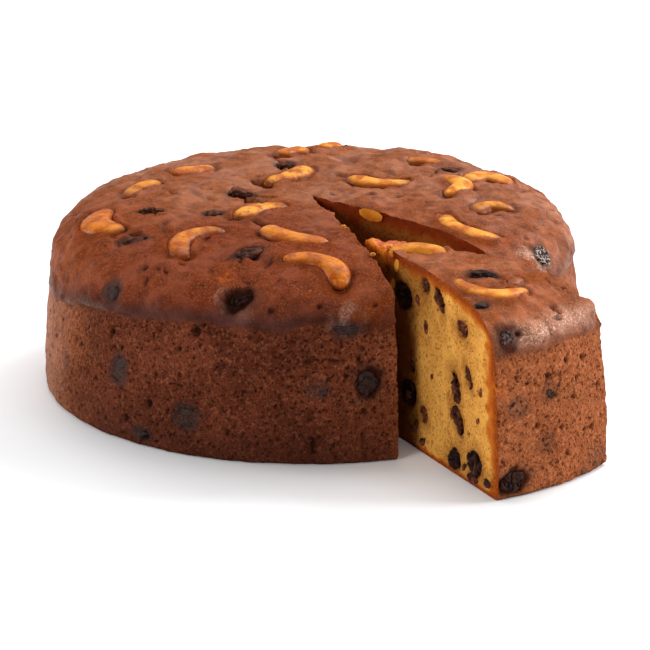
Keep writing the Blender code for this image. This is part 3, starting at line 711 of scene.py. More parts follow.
def add_small_raisins(material):
    """Sliced raisins too small for solids of their own, in the wedge's left cut."""
    shape = bmesh.new()
    outward, along_cut = direction(LEFT_CUT - 90.0), direction(LEFT_CUT)
    folds, redness = [], []
    for row, (*lengths, lean, red) in enumerate(SMALL_RAISINS):
        reach, height, length, width = np.array(lengths) * MM
        centre = APEX + along_cut * reach + (0.0, 0.0, height) + outward * (SMALL_RAISIN_PROUD - 0.35 * width)
        long_axis = along_cut * math.cos(lean) + np.array((0.0, 0.0, math.sin(lean)))
        axes = (long_axis, np.cross(outward, long_axis), outward)
        bulge = add_lump(shape, centre, axes, np.array((length, width, 0.7 * width)) / 2.0, 3.0 + 7.0 * row)
        folds.append(smooth(1.02, 0.88, bulge))
        redness.append(np.full(len(bulge), red))
    mesh = mesh_of(shape, "small_raisins_in_cut")
    # Painted shade in the folds between the bulges.
    paint(mesh, "fold_shade", np.concatenate(folds))
    paint(mesh, "film", 0.0)
    paint(mesh, "ruddy", np.concatenate(redness))
    paint(mesh, "bloom_and_sheen", 0.0)
    return add_piece("small_raisins_in_cut", mesh, material, None, SEAT)


def add_crumbs(material):
    """Loose crumbs stuck on the cut edges."""
    places = (("crumbs_on_cake", LEFT_EDGE_CRUMBS, STAY), ("crumbs_on_wedge", POINT_CRUMBS, SEAT))
    for name, rows, seat in places:
        shape = bmesh.new()
        for row, (x, y, lift, size) in enumerate(np.array(rows) * MM):
            centre = np.array(top_point(x, y)[0]) + (0.0, 0.0, lift)
            add_lump(shape, centre, np.eye(3), np.array((size, 0.8 * size, 0.75 * size)), 2.0 + 5.0 * row)
        mesh = mesh_of(shape, name)
        paint(mesh, "torn", 0.35)
        add_piece(name, mesh, material, None, seat)


# ---------------------------------------------------------------- cake and wedge

# Places in plan of the torn hole in the front rim and of the bite out of the wedge's rim.
TORN_HOLE = (-0.0297, -0.0885)
RIM_BITE = (0.0670, -0.0590)
# How far the top crust rolls out over the wall, and how far above RIM_LINE its dark band is deepest:
# the rolled rim's own darker tone with painted shade at and under its lip.
RIM_LEDGE = 0.00055
RIM_SHADE_LIFT = 0.0012
# Pits wider than this get no painted shade and stay as light as the crust round them.
WIDEST_DARK_PIT = 0.003
# Height of the line where the smooth top crust ends and the tin-baked wall begins, by bearing.
RIM_LINE = (
    (-180.0, 45.5), (-125.0, 42.0), (-95.0, 37.5), (-75.0, 39.0), (-64.0, 42.4), (-56.0, 44.7),
    (-47.0, 46.7), (-40.0, 47.3), (-31.0, 48.4), (-24.0, 49.6), (-13.0, 49.5), (-7.5, 48.6), (-2.0, 50.4),
    (3.0, 50.8), (8.0, 47.6), (15.0, 48.4), (21.0, 51.4), (30.0, 51.2), (36.0, 51.9), (43.0, 51.6),
    (50.0, 50.3), (75.0, 49.0), (125.0, 46.5), (180.0, 45.5),
)
# Small pits in the top crust: x, y, radius and depth.
TOP_PITS = (
    (13.8, 53.5, 4.5, 1.4), (-59.6, -65.0, 1.2, 1.2), (-54.5, -68.5, 0.9, 0.8), (-52.3, -70.4, 0.9, 0.8),
    (2.4, -94.3, 1.3, 1.0), (-14.7, -94.0, 1.7, 1.0), (2.0, -41.0, 0.9, 0.7), (22.1, -91.9, 1.1, 0.9),
    (7.2, 4.9, 1.8, 1.4), (68.0, -18.2, 1.4, 0.9), (75.3, -18.9, 1.3, 0.9), (-2.0, 56.0, 1.1, 0.8),
    (-74.0, -10.0, 0.8, 0.7), (56.0, -4.0, 1.1, 0.7), (-30.0, 56.0, 1.2, 0.8), (82.0, -24.0, 1.0, 0.8),
    (70.0, 40.0, 1.2, 0.8), (-6.0, -86.0, 0.8, 0.6),
)
# Cracks in the top crust: one end, the other end, half width and depth.
TOP_CRACKS = (
    (-63.6, -8.6, -59.3, -14.4, 1.1, 1.6), (-57.8, -17.1, -53.2, -21.3, 0.8, 1.0),
    (-67.3, -36.0, -59.7, -43.5, 1.0, 1.8), (-71.4, -40.9, -67.2, -37.9, 1.3, 0.8),
    (-27.2, -62.4, -18.9, -73.1, 1.0, 1.3), (-26.0, -72.3, -20.5, -59.1, 1.0, 1.3),
    (-44.2, -82.4, -41.7, -84.2, 1.2, 0.8), (-29.4, 14.8, -25.5, 3.5, 2.4, 2.6),
    (-25.5, 3.5, -19.1, -5.1, 2.1, 3.0), (-24.0, 6.0, -14.0, 2.6, 1.6, 2.0),
    (-12.5, 49.9, -9.0, 36.3, 1.8, 2.6), (-31.6, 31.7, -28.5, 27.8, 1.2, 1.0),
    (-39.1, 13.0, -36.4, 10.6, 1.2, 1.2), (-46.8, 10.3, -42.3, 7.6, 1.3, 0.6),
    (-32.5, -29.0, -26.2, -22.5, 1.8, 2.2), (-29.0, -18.0, -24.0, -12.0, 1.6, 1.8),
    (-21.5, -30.1, -15.5, -36.8, 1.7, 2.2), (6.0, -40.0, 8.3, -45.2, 1.3, 1.5),
    (20.5, 4.0, 25.0, 0.6, 1.3, 1.5), (29.2, -1.0, 32.5, 3.0, 1.2, 1.3),
    (35.0, 0.0, 37.5, -2.6, 1.0, 1.2), (39.5, -4.0, 46.0, -6.8, 1.2, 1.4),
    (-22.5, 24.0, -15.0, 16.5, 1.9, 2.2), (8.5, 33.0, 13.0, 28.4, 1.6, 2.0),
    (-80.0, -18.0, -77.0, -29.0, 1.1, 1.4), (-49.0, -64.0, -45.0, -69.0, 0.9, 1.2),
    (46.0, -18.0, 47.0, -25.0, 0.9, 1.1), (-14.0, -70.0, -16.0, -77.0, 0.9, 0.9),
)
WEDGE_TOP_CRACKS = (
    (42.0, -41.2, 45.3, -42.3, 1.0, 1.0), (52.3, -73.6, 55.4, -72.7, 1.1, 1.4),
    (53.1, -76.9, 56.4, -74.7, 1.1, 1.4), (32.0, -50.0, 35.5, -52.0, 0.9, 1.0),
    (33.0, -85.0, 36.0, -88.0, 0.9, 1.2), (38.5, -56.0, 40.0, -60.0, 0.8, 0.8),
)
# Pits in the wall: bearing, height, radius and depth.
WALL_PITS = (
    (-25.3, 46.1, 2.2, 1.8), (-47.4, 39.3, 1.4, 1.4), (-36.3, 16.6, 1.6, 1.4), (-37.3, 4.2, 1.9, 1.6),
    (-42.6, 9.3, 1.5, 1.2), (-34.5, 28.0, 1.2, 1.0), (-44.2, 34.5, 1.0, 1.0), (-17.8, 11.5, 1.0, 0.8),
    (-58.0, 30.0, 1.0, 1.0), (-52.0, 20.0, 1.0, 0.9), (-19.0, 35.0, 1.0, 0.9), (6.8, 32.5, 1.1, 1.0),
    (3.1, 31.6, 1.0, 0.9), (-29.0, 39.0, 1.0, 0.9), (12.5, 20.0, 0.9, 0.8),
)
WEDGE_WALL_PITS = (
    (36.3, 44.3, 1.3, 0.8), (41.5, 43.2, 1.4, 1.2), (46.0, 31.5, 1.2, 1.2), (22.5, 43.0, 1.1, 0.9),
    (27.0, 24.5, 1.1, 0.9), (37.3, 30.7, 1.0, 0.9), (33.4, 21.5, 1.0, 0.9), (42.8, 17.3, 1.1, 0.9),
    (35.0, 11.0, 1.0, 0.9), (39.0, 37.0, 1.1, 1.0),
)
# Cracks in the wall: bearing and height of both ends, half width and depth.
WALL_CRACKS = (
    (9.6, 40.1, 9.8, 35.0, 1.0, 1.4), (9.7, 24.0, 10.1, 3.5, 1.2, 0.6), (9.8, 42.9, 11.3, 42.1, 0.8, 1.0),
    (-2.6, 38.3, -0.4, 37.8, 0.8, 0.8), (1.5, 38.2, 5.6, 37.9, 0.8, 0.8),
    (-0.1, 10.7, -0.1, 5.1, 1.2, 1.2),
)
WEDGE_WALL_CRACKS = (
    (30.9, 43.1, 31.0, 39.6, 1.4, 1.6), (30.0, 35.2, 32.6, 34.2, 0.9, 0.9),
    (21.4, 13.0, 22.0, 10.0, 0.9, 0.9), (40.0, 18.0, 42.0, 17.2, 0.8, 0.8),
)
WEDGE_TOP_PITS = (
    (39.0, -85.2, 1.8, 1.3), (26.4, -75.8, 1.3, 0.6), (31.0, -69.0, 1.0, 0.7), (46.0, -79.0, 0.9, 0.7),
    (39.8, -84.9, 1.4, 1.2), (60.0, -60.0, 1.0, 0.8),
)
# Raisins that lie in open holes or cracks of the crust, and how many millimetres it sinks there.
OPEN_HOLES = {
    "raisin_torn_crust": 2.4, "raisin_top_front": 1.4, "raisin_top_left_slit": 1.0,
    "raisin_top_centre": 0.8, "raisin_top_crack": 1.6, "raisin_top_rear": 1.4, "raisin_top_right": 1.0,
    "raisin_wedge_top": 1.0, "raisin_side_right": 1.2, "raisin_wedge_foot": 1.2, "raisin_wedge_rim": 0.6,
}


def nut_lines(rows):
    """Centrelines of nuts in plan, with their half widths along them."""
    lines = []
    for _, end_a, end_b, bow, width, depth, fat_end, belly, *_ in rows:
        place, chord = lying_on_top(end_a, end_b, depth)
        bow, width = bow * MM, width * MM
        side = 1.0 if bow > 0.0 else -1.0
        spots, halves = [], []
        for share in np.linspace(-0.97, 0.97, 21):
            rounded = (1.0 - share**2) ** (0.5 - CASHEW_BLUNTNESS / 2.0)
            half = nut_half_width(width, fat_end, share) * rounded
            swollen = half * belly * math.exp(-((share / 0.5) ** 2)) / 2.0
            along, across, heading = bend_along(chord, bow, share)
            along -= math.sin(heading) * side * swollen
            across += math.cos(heading) * side * swollen
            spots.append(place(along, across, 0.0))
            halves.append(half + swollen)
        lines.append((np.array(spots), np.array(halves)))
    return lines


def clear_of_nuts(points, lines):
    """Distance from each point to the nearest nut's side, negative under the nut."""
    nearest = np.full(len(points), 1.0)
    for line, halves in lines:
        close = np.abs(points - line.mean(axis=0)).max(axis=1) < 0.03
        if close.any():
            away = np.linalg.norm(points[close, None, :2] - line[None, :, :2], axis=2)
            nearest[close] = np.minimum(nearest[close], (away - halves).min(axis=1))
    return nearest


def pore_field(points, wavelength, share, seed):
    """1 in the middles of scattered irregular pores, 0 between them."""
    stray = strays(points, wavelength * 0.7, 2, (seed, seed + 11.0, seed + 23.0))
    near = cells(points + 0.28 * wavelength * stray, wavelength, seed)[:, 0]
    return smooth(share, 0.25 * share, near)


def slit(points, start, end, half):
    """1 along a crack between two places, 0 beside it."""
    start, end = np.array(start), np.array(end)
    span = end - start
    share = np.clip((points - start) @ span / (span @ span), 0.0, 1.0)
    away = np.linalg.norm(points - start - share[:, None] * span, axis=1)
    return smooth(1.3, 0.3, away / (half * (0.45 + 0.70 * np.sin(math.pi * share))))


def on_wall(bearing, height):
    """The place on the wall at a bearing and height."""
    return direction(bearing) * wall_radius(height) + (0.0, 0.0, height)


def skin_cut_under(points, faces):
    """Which points lie on the skin, on a cut face and on the underside: an edge lies on two."""
    kinds = np.array([face[3] for face in faces])
    corners = np.array([face[:3] for face in faces])
    on = {}
    for kind, label in enumerate(("skin", "cut", "under")):
        on[label] = np.zeros(len(points), bool)
        on[label][corners[kinds == kind].ravel()] = True
    return on


def nut_bed(points, gap, on_top):
    """Crust that climbs a nut's sides here and leaves a gap there: its rise, and the gap's painted shade."""
    hold = lumps(points, 0.0110, 2, 27.0)
    climb = 0.0010 + 0.0008 * smooth(-0.10, 0.45, hold) - 0.0019 * smooth(0.05, -0.45, hold)
    bed = climb * np.exp(-(((gap + 0.0003) / 0.0015) ** 2)) - 0.0022 * smooth(-0.0009, -0.0021, gap)
    bed -= 0.00035 * smooth(0.0045, 0.0, gap)
    cleft_shade = smooth(0.20, -0.35, hold) * np.exp(-(((gap - 0.0001) / 0.0009) ** 2)) * on_top
    return np.where(on_top, bed, 0.0), cleft_shade


def top_relief(points, top, front):
    """Swellings, folds and grain of the top crust, and where its creases run, darkened as painted shade."""
    swell = 0.00110 * lumps(points, 0.014, 3, 1.0) + 0.00075 * lumps(points, 0.0055, 3, 2.5)
    folds = np.abs(lumps(points * (1.0, 0.75, 1.0), 0.021, 3, 7.0))
    crease = smooth(0.085, 0.0, folds) * smooth(-0.05, 0.45, lumps(points, 0.018, 2, 17.0))
    grain = 0.00009 * lumps(points, 0.0022, 3, 2.0) * (0.4 + front)
    return top * (swell - 0.0011 * crease + grain), crease


def rim_relief(points, bearing, above_rim, wall):
    """The ledge where the top crust rolled over the tin's rim, and its drawn-out folds."""
    ledge = RIM_LEDGE - 0.00045 * smooth(58.0, 80.0, np.abs(bearing))
    relief = ledge * np.exp(-(((above_rim - 0.0013) / 0.0011) ** 2))
    relief -= wall * 1.1 * ledge * smooth(-0.005, -0.0002, above_rim)
    drawn = points * (1.0, 1.0, 4.0)
    near_rim = np.exp(-(((above_rim - 0.002) / 0.0055) ** 2)) * ledge / RIM_LEDGE
    folds = smooth(0.06, 0.0, np.abs(lumps(drawn, 0.016, 2, 29.0)))
    return relief + near_rim * (0.00040 * lumps(drawn, 0.011, 3, 19.0) - 0.0002 * folds)


def pored_relief(points, rough, top):
    """Crumbly, pored wall and a few wide pores in the top: the relief, and the painted shade of its hollows.
    """
    crumble = 0.00040 * lumps(points, 0.0100, 3, 4.0) + 0.00018 * lumps(points, 0.0021, 3, 6.0)
    scarce = smooth(-0.25, 0.35, lumps(points, 0.012, 2, 8.0))
    pores = pore_field(points, 0.0026, 0.25 + 0.14 * scarce, 31.0)
    wide = pore_field(points, 0.0078, 0.125, 57.0)
    pores_top = pore_field(points, 0.0110, 0.10, 77.0) * top
    relief = rough * (crumble - 0.00075 * pores - 0.0010 * wide) - 0.0007 * pores_top
    return relief, np.maximum(rough * np.maximum(0.9 * pores, wide), 0.8 * pores_top)


def pits_and_cracks(points, skin, top_pits, wall_pits, cracks):
    """Depth of the placed pits and cracks of the crust, and the painted shade in them."""
    depth, hollow_shade = np.zeros((2, len(points)))
    strayed = points + 0.0017 * strays(points, 0.0050, 3, (13.0, 15.0, 16.0))
    for start, end, half, deep in cracks:
        within = slit(strayed, start, end, half) * skin
        depth += deep * within
        hollow_shade = np.maximum(hollow_shade, within * min(0.85, deep / 0.0011))
    spots = [(top_point(x, y)[0], size, deep) for x, y, size, deep in np.array(top_pits) * MM]
    for way, *lengths in wall_pits:
        level, size, deep = np.array(lengths) * MM
        spots.append((on_wall(way, level), size, deep))
    ragged = 1.0 + 0.35 * lumps(points, 0.0022, 2, 12.0)
    for centre, size, deep in spots:
        away = np.linalg.norm(points - np.array(centre), axis=1) / size
        within = smooth(1.25, 0.45, away * ragged) * skin
        depth += deep * within
        if size < WIDEST_DARK_PIT:
            hollow_shade = np.maximum(hollow_shade, within * min(1.0, deep / 0.0009))
    return depth, hollow_shade


def raisin_beds(points, on, fruits, seat):
    """Holes torn open round some raisins, painted shade in them and round the cut raisins, and dark stains
    over and round the rest.
    """
    depth, hollow_shade, stain_and_shadow, soaked = np.zeros((4, len(points)))
    skin, cut = on["skin"], on["cut"]
    ragged = 1.0 + 0.22 * lumps(points, 0.0036, 3, 14.0)
    blurry = 1.0 + 0.35 * lumps(points, 0.004, 2, 49.0)
    for name in fruits:
        fruit = seated_fruit(name, seat)
        near = nearness(points, fruit, 0.0003)
        torn = nearness(points, fruit, 0.0013) * ragged
        if name in OPEN_HOLES:
            depth += skin * OPEN_HOLES[name] * MM * smooth(1.05, 0.75, torn)
            hollow_shade = np.maximum(hollow_shade, skin * 0.95 * smooth(1.15, 0.85, torn))
            stain_and_shadow = np.maximum(stain_and_shadow, skin * 0.5 * smooth(1.5, 1.0, torn))
        elif name.startswith("raisin_cut"):
            depth += cut * 0.0016 * smooth(1.12, 0.9, near)
            hollow_shade = np.maximum(hollow_shade, cut * 0.7 * smooth(1.25, 1.0, near))
            soaked = np.maximum(soaked, cut * smooth(1.9, 0.9, nearness(points, fruit, 0.0012) * blurry))
        else:
            thin = 1.0 - FILMED.get(name, 0.0)
            depth += skin * (0.0002 + 0.0006 * thin) * smooth(1.02, 0.9, near)
            stain_and_shadow = np.maximum(stain_and_shadow, skin * STAIN_DEPTH.get(name, 1.0) * smooth(1.25, 0.75, torn))
    return depth, hollow_shade, stain_and_shadow, soaked


def cut_relief(points):
    """Open crumb of a cut face: the relief, and the painted shade of its hollows."""
    fine = pore_field(points, 0.0024, 0.26, 91.0)
    loose = pore_field(points, 0.0100, 0.15, 97.0)
    crumb = 0.00016 * lumps(points, 0.0019, 3, 21.0) + 0.00030 * lumps(points, 0.012, 2, 22.0)
    return crumb - 0.00040 * fine - 0.0010 * loose, np.maximum(0.6 * fine, loose)


def shaped_body(name, start, end, rows, seat, top_pits, wall_pits, cracks, fruits, worn):
    """The cake or the wedge: carved body with its lumps, pores, troughs, holes and worn edges."""
    points, faces = body(start, end)
    mesh = make_mesh(name, points, faces)
    on = skin_cut_under(points, faces)
    skin = on["skin"]
    rise = np.clip((points[:, 2] - RIM_HEIGHT) / (DOME_RISE / 2.0), 0.0, 1.0)
    points[:, 2] += unevenness(points) * rise
    set_points(mesh, points)
    normals = mesh_normals(mesh)

    bearing = np.degrees(np.arctan2(points[:, 0], -points[:, 1]))
    radius = np.hypot(points[:, 0], points[:, 1])
    # The height is a view of the points, so it follows them when they move.
    height = points[:, 2]
    rim_line = MM * np.interp(bearing, *np.array(RIM_LINE).T) + 0.0011 * lumps(points, 0.014, 3, 3.0)
    above_rim = height - rim_line
    wall = smooth(0.0006, -0.0006, above_rim)
    top = (1.0 - wall) * skin
    leftward = 0.6 * np.minimum(points[:, 0] + 0.045, 0.0)
    front = smooth(0.030, -0.050, points[:, 1] + leftward + 0.010 * lumps(points, 0.03, 2, 5.0))
    gap = clear_of_nuts(points, nut_lines((*rows, HALVED_CASHEW)))

    bed, cleft_shade = nut_bed(points, gap, skin & (above_rim > 0.0))
    swollen, crease = top_relief(points, top, front)
    pored, pore_shade = pored_relief(points, wall * skin * ~on["under"], top)
    pits, pit_shade = pits_and_cracks(points, skin, top_pits, wall_pits, cracks)
    holes, hole_shade, stain_and_shadow, soaked = raisin_beds(points, on, fruits, seat)
    crumbly, cut_pore_shade = cut_relief(points)
    inside = on["cut"] & ~skin
    depth = bed + swollen + skin * rim_relief(points, bearing, above_rim, wall) + pored - pits - holes
    depth += inside * crumbly
    hollow_shade = np.maximum.reduce([pore_shade, 0.6 * cleft_shade, pit_shade, hole_shade, inside * cut_pore_shade])
    points += normals * depth[:, None]

    # Crumbled cut edges.
    edge = skin & on["cut"] & (height > 0.004)
    bite = 0.0009 * smooth(0.0, 0.7, lumps(points, 0.0070, 3, 41.0))
    bite += 0.00015 * lumps(points, 0.0016, 2, 43.0)
    points -= np.where(edge, worn * bite, 0.0)[:, None] * normals
    return mesh, points, normals, on, dict(
        soaked=soaked, wall=wall, hollow_shade=hollow_shade, stain_and_shadow=stain_and_shadow, gap=gap, front=front,
        above_rim=above_rim, crease=crease, bearing=bearing, radius=radius, height=height,
    )


def crust_band(points, radius, height, deeper):
    """How browned a cut face is: 1 at its crust, 0 in the crumb."""
    below = dome_height(radius) + unevenness(points) - height
    sideways = wall_radius(height) - radius
    waver = 1.0 + 0.5 * lumps(points, 0.006, 2, 51.0)
    band = smooth(0.0065 + deeper, 0.0008 + deeper, below * waver)
    band = np.maximum(band, smooth(0.0080, 0.0004, sideways * waver))
    return np.maximum(band, smooth(0.0022, 0.0003, height * waver))


def blot(points, centre, size, seed):
    """A soft ragged patch round a place, 1 in its middle."""
    away = np.linalg.norm(points - np.array(centre), axis=1) / size
    return smooth(1.15, 0.35, away * (1.0 + 0.35 * lumps(points, 0.4 * size, 2, seed)))


def all_cracks(in_top, in_wall):
    """Both ends, half width and depth of the cracks of one body."""
    cracks = []
    for x_a, y_a, x_b, y_b, half, deep in np.array(in_top) * MM:
        cracks.append((top_point(x_a, y_a)[0], top_point(x_b, y_b)[0], half, deep))
    for way_a, level_a, way_b, level_b, half, deep in in_wall:
        ends = on_wall(way_a, level_a * MM), on_wall(way_b, level_b * MM)
        cracks.append((*ends, half * MM, deep * MM))
    return cracks


def add_cake(materials, fruits):
    """The baked cake with its notch."""
    mesh, points, normals, on, facts = shaped_body(
        "cake_baked", RIGHT_CUT, LEFT_CUT + 360.0, CAKE_CASHEWS, STAY,
        TOP_PITS, WALL_PITS, all_cracks(TOP_CRACKS, WALL_CRACKS), fruits, 0.3,
    )
    bearing = facts["bearing"]
    # A flap of crust stands at the left of the torn hole in the front rim.
    ring = np.linalg.norm(points - np.array(top_point(*TORN_HOLE)[0]), axis=1)
    ring += 0.0012 * lumps(points, 0.003, 2, 67.0)
    leftward = smooth(0.0010, -0.0020, points[:, 0] - TORN_HOLE[0] + 0.0015 * lumps(points, 0.004, 2, 69.0))
    flap = np.exp(-(((ring - 0.0036) / 0.0010) ** 2)) * on["skin"] * leftward
    points += normals * (0.0013 * flap - 0.0014 * smooth(0.0036, 0.0020, ring) * on["skin"])[:, None]
    # Sugar bloom and painted sheen, pale grains with painted highlights among them: round the raisin in
    # the right shoulder and thinly over that shoulder, on the flap, beside the torn hole, at the rim left of
    # the notch, and on the far left wall and its lip, where painted light makes the wall paler.
    flatter = np.array((1.0, 1.5, 1.5))
    bloom = seated_fruit("raisin_shoulder_right", STAY)[0] + (-0.0025, -0.0025, -0.0010)
    right_front = smooth(0.040, 0.062, points[:, 0]) * smooth(0.020, -0.008, points[:, 1])
    streaks = smooth(-0.25, 0.35, lumps(points * (1.0, 1.0, 0.6), 0.0045, 3, 66.0))
    left_wall = smooth(-170.0, -110.0, bearing) * facts["wall"]
    lip = np.exp(-(((facts["above_rim"] - 0.0010) / 0.0018) ** 2)) * smooth(-28.0, -60.0, bearing)
    speckled = smooth(-0.6, 0.2, lumps(points, 0.0040, 3, 60.0))
    bloom_and_sheen = np.maximum.reduce([
        speckled * blot(points * flatter, bloom * flatter, 0.0125, 61.0),
        0.15 * right_front * smooth(-0.7, 0.3, lumps(points, 0.0070, 3, 74.0)),
        0.50 * flap * smooth(-0.5, 0.3, lumps(points, 0.0016, 2, 68.0)),
        0.12 * blot(points, top_point(-0.0235, -0.0930)[0], 0.0040, 62.0),
        0.42 * streaks * blot(points, on_wall(7.2, 0.0535), 0.0080, 64.0),
        0.35 * smooth(-58.0, -80.0, bearing) * left_wall,
        0.24 * lip * smooth(-0.6, 0.3, lumps(points, 0.009, 3, 70.0)),
    ])
    # One raisin lies so deep in the left wall that it only greys the crust over it.
    facts["stain_and_shadow"] = np.maximum(facts["stain_and_shadow"], 0.6 * blot(points, on_wall(-64.7, 0.0209), 0.0052, 76.0))
    shreds = smooth(-0.30, 0.25, lumps(points, 0.0022, 2, 72.0))
    torn = 0.6 * shreds * blot(points, top_point(-0.0308, -0.0796)[0], 0.0040, 63.0)
    # Painted light: the crust is painted lighter and warmer towards both sides, where the side lights fall.
    painted_side_light = smooth(-46.0, -74.0, bearing) * (0.50 + 0.30 * left_wall) + 0.30 * smooth(2.0, 16.0, bearing)
    painted_side_light = np.where(bearing > 17.0, 0.5, painted_side_light)
    # Painted shade: the crumb of the cut faces in the notch is painted darker, most towards the middle of the
    # cake, deep in the notch.
    crumb_shade_and_darkening = 0.85 + 0.15 * smooth(0.075, 0.030, facts["radius"])
    finish_body(mesh, points, on, facts, bloom_and_sheen, torn, painted_side_light, crumb_shade_and_darkening, 0.0004)
    return add_piece("cake_baked", mesh, materials, "cake")


def add_wedge(materials, fruits):
    """The baked wedge, with its crumbled point."""
    mesh, points, _, on, facts = shaped_body(
        "wedge_baked", LEFT_CUT, RIGHT_CUT + WEDGE_OPENS, WEDGE_CASHEWS, SEAT,
        WEDGE_TOP_PITS, WEDGE_WALL_PITS, all_cracks(WEDGE_TOP_CRACKS, WEDGE_WALL_CRACKS), fruits, 1.0,
    )
    away = np.linalg.norm(points[:, :2] - APEX[:2], axis=1)
    level = points[:, 2]
    # The point crumbled off, and the top of the point tore.
    lost = 0.0030 + 0.0013 * lumps(points * (1.0, 1.0, 0.8), 0.007, 3, 71.0)
    middle = direction((LEFT_CUT + RIGHT_CUT + WEDGE_OPENS) / 2.0)
    forward = (points - APEX) @ middle
    points += np.maximum(lost - forward, 0.0)[:, None] * middle * 0.9
    upper = smooth(0.010, 0.002, dome_height(facts["radius"]) - level)
    torn = smooth(0.026, 0.017, away + 0.004 * lumps(points, 0.006, 2, 73.0)) * upper
    rough = 0.0009 + 0.0008 * lumps(points, 0.0040, 3, 75.0)
    points[:, 2] -= torn * (np.maximum(rough, -0.0004) + 0.0012 * smooth(0.006, 0.0, away))
    # A bite is missing from the rim at the right corner.
    from_bite = (points - np.array(top_point(*RIM_BITE)[0])) * (1.0, 1.0, 0.7)
    points[:, 2] -= 0.0036 * smooth(0.0026, 0.0012, np.linalg.norm(from_bite, axis=1))
    # Sugar bloom and painted sheen, pale grains with painted highlights: a ribbon above the rim at the
    # right, and a thin film over the top.
    ribbon = np.exp(-(((facts["above_rim"] - 0.0056) / 0.0038) ** 2)) * smooth(20.0, 24.0, facts["bearing"])
    film = (1.0 - facts["wall"]) * smooth(-0.7, 0.3, lumps(points, 0.0070, 3, 74.0))
    bloom_and_sheen = np.maximum(0.78 * ribbon * smooth(-0.9, 0.4, lumps(points, 0.011, 3, 65.0)), 0.11 * film)
    # Painted shade: the crumb is painted darker at the point, where the cake shades it, and under the top
    # near it. It is also darker at the outer foot.
    inner = away + 0.003 * lumps(points, 0.008, 3, 79.0) + 0.010 * smooth(0.038, 0.062, level)
    foot = np.linalg.norm((points - APEX - direction(LEFT_CUT) * 0.090) / (0.015, 0.015, 0.011), axis=1)
    crumb_shade_and_darkening = np.maximum.reduce([
        smooth(0.0455, 0.0375, inner),
        0.55 * smooth(0.066, 0.046, away) * smooth(0.040, 0.056, level),
        0.45 * smooth(1.2, 0.4, foot + 0.30 * lumps(points, 0.0045, 3, 83.0)),
    ])
    shreds = smooth(-0.35, 0.25, lumps(points, 0.0022, 2, 72.0))
    torn = np.maximum(torn, 0.55 * shreds * blot(points, on_wall(LEFT_CUT + 1.4, 0.0400), 0.0040, 85.0))
    # Painted shadow: the foot of the wall at the right corner is painted dark, as shadow under the base's
    # edge.
    painted_corner_shadow = 0.55 * blot(points, on_wall(45.2, 0.0040), 0.0085, 86.0)
    painted_corner_shadow = np.maximum(painted_corner_shadow, blot(points, on_wall(40.6, 0.0010), 0.0030, 87.0))
    facts["stain_and_shadow"] = np.maximum(facts["stain_and_shadow"], painted_corner_shadow * on["skin"])
    # The whole wedge gets the full painted side light.
    finish_body(mesh, points, on, facts, bloom_and_sheen, torn, np.ones(len(points)), crumb_shade_and_darkening, 0.0)
    return add_piece("wedge_baked", mesh, materials, "wedge", SEAT)


def finish_body(mesh, points, on, facts, bloom_and_sheen, torn, painted_side_light, crumb_shade_and_darkening, deeper):
    """Sets the shaped points, keeps the underside flat and stores what the materials need to know."""
    points[:, 2] = np.where(on["under"], 0.0, np.maximum(points[:, 2], 0.0))
    set_points(mesh, points)
    mesh.set_sharp_from_angle(angle=math.radians(CUT_ANGLE))
    skin, above_rim = on["skin"], facts["above_rim"]
    skin_top = skin & (above_rim > 0.0)
    ringed = smooth(0.0046, 0.0, facts["gap"] + 0.0012 * lumps(points, 0.005, 2, 81.0))
    # The rim band: the rolled rim's darker tone with painted shade at and under its lip, weaker where the
    # side light is painted and at bearings right of the front.
    spread = np.where(above_rim > RIM_SHADE_LIFT, 0.0050, 0.0017)
    rim = np.exp(-(((above_rim - RIM_SHADE_LIFT) / spread) ** 2)) * (1.0 - 0.32 * painted_side_light)
    rim = rim * (1.0 - 0.25 * smooth(2.0, 14.0, facts["bearing"]))
    painted = dict(
        wall=facts["wall"] * skin, hollow_shade=facts["hollow_shade"], stain_and_shadow=facts["stain_and_shadow"], soaked=facts["soaked"],
        halo=ringed * skin_top, front=facts["front"], crease=facts["crease"] * skin_top, rim=rim * skin,
        bloom_and_sheen=bloom_and_sheen * skin, torn=torn, painted_side_light=painted_side_light, crumb_shade_and_darkening=crumb_shade_and_darkening,
        # Painted shade: the wall darkens towards the floor, less where the side light is painted.
        foot=smooth(0.026, 0.002, facts["height"]) * (1.0 - painted_side_light) * skin,
        band=crust_band(points, facts["radius"], facts["height"], deeper),
    )
    for name, values in painted.items():
        paint(mesh, name, values)


# ---------------------------------------------------------------- materials


def colour(red, green, blue):
    """Linear colour of everyday red, green and blue from 0 to 255."""
    parts = (np.array((red, green, blue)) / 255.0 + 0.055) / 1.055
    return (*(parts**2.4), 1.0)


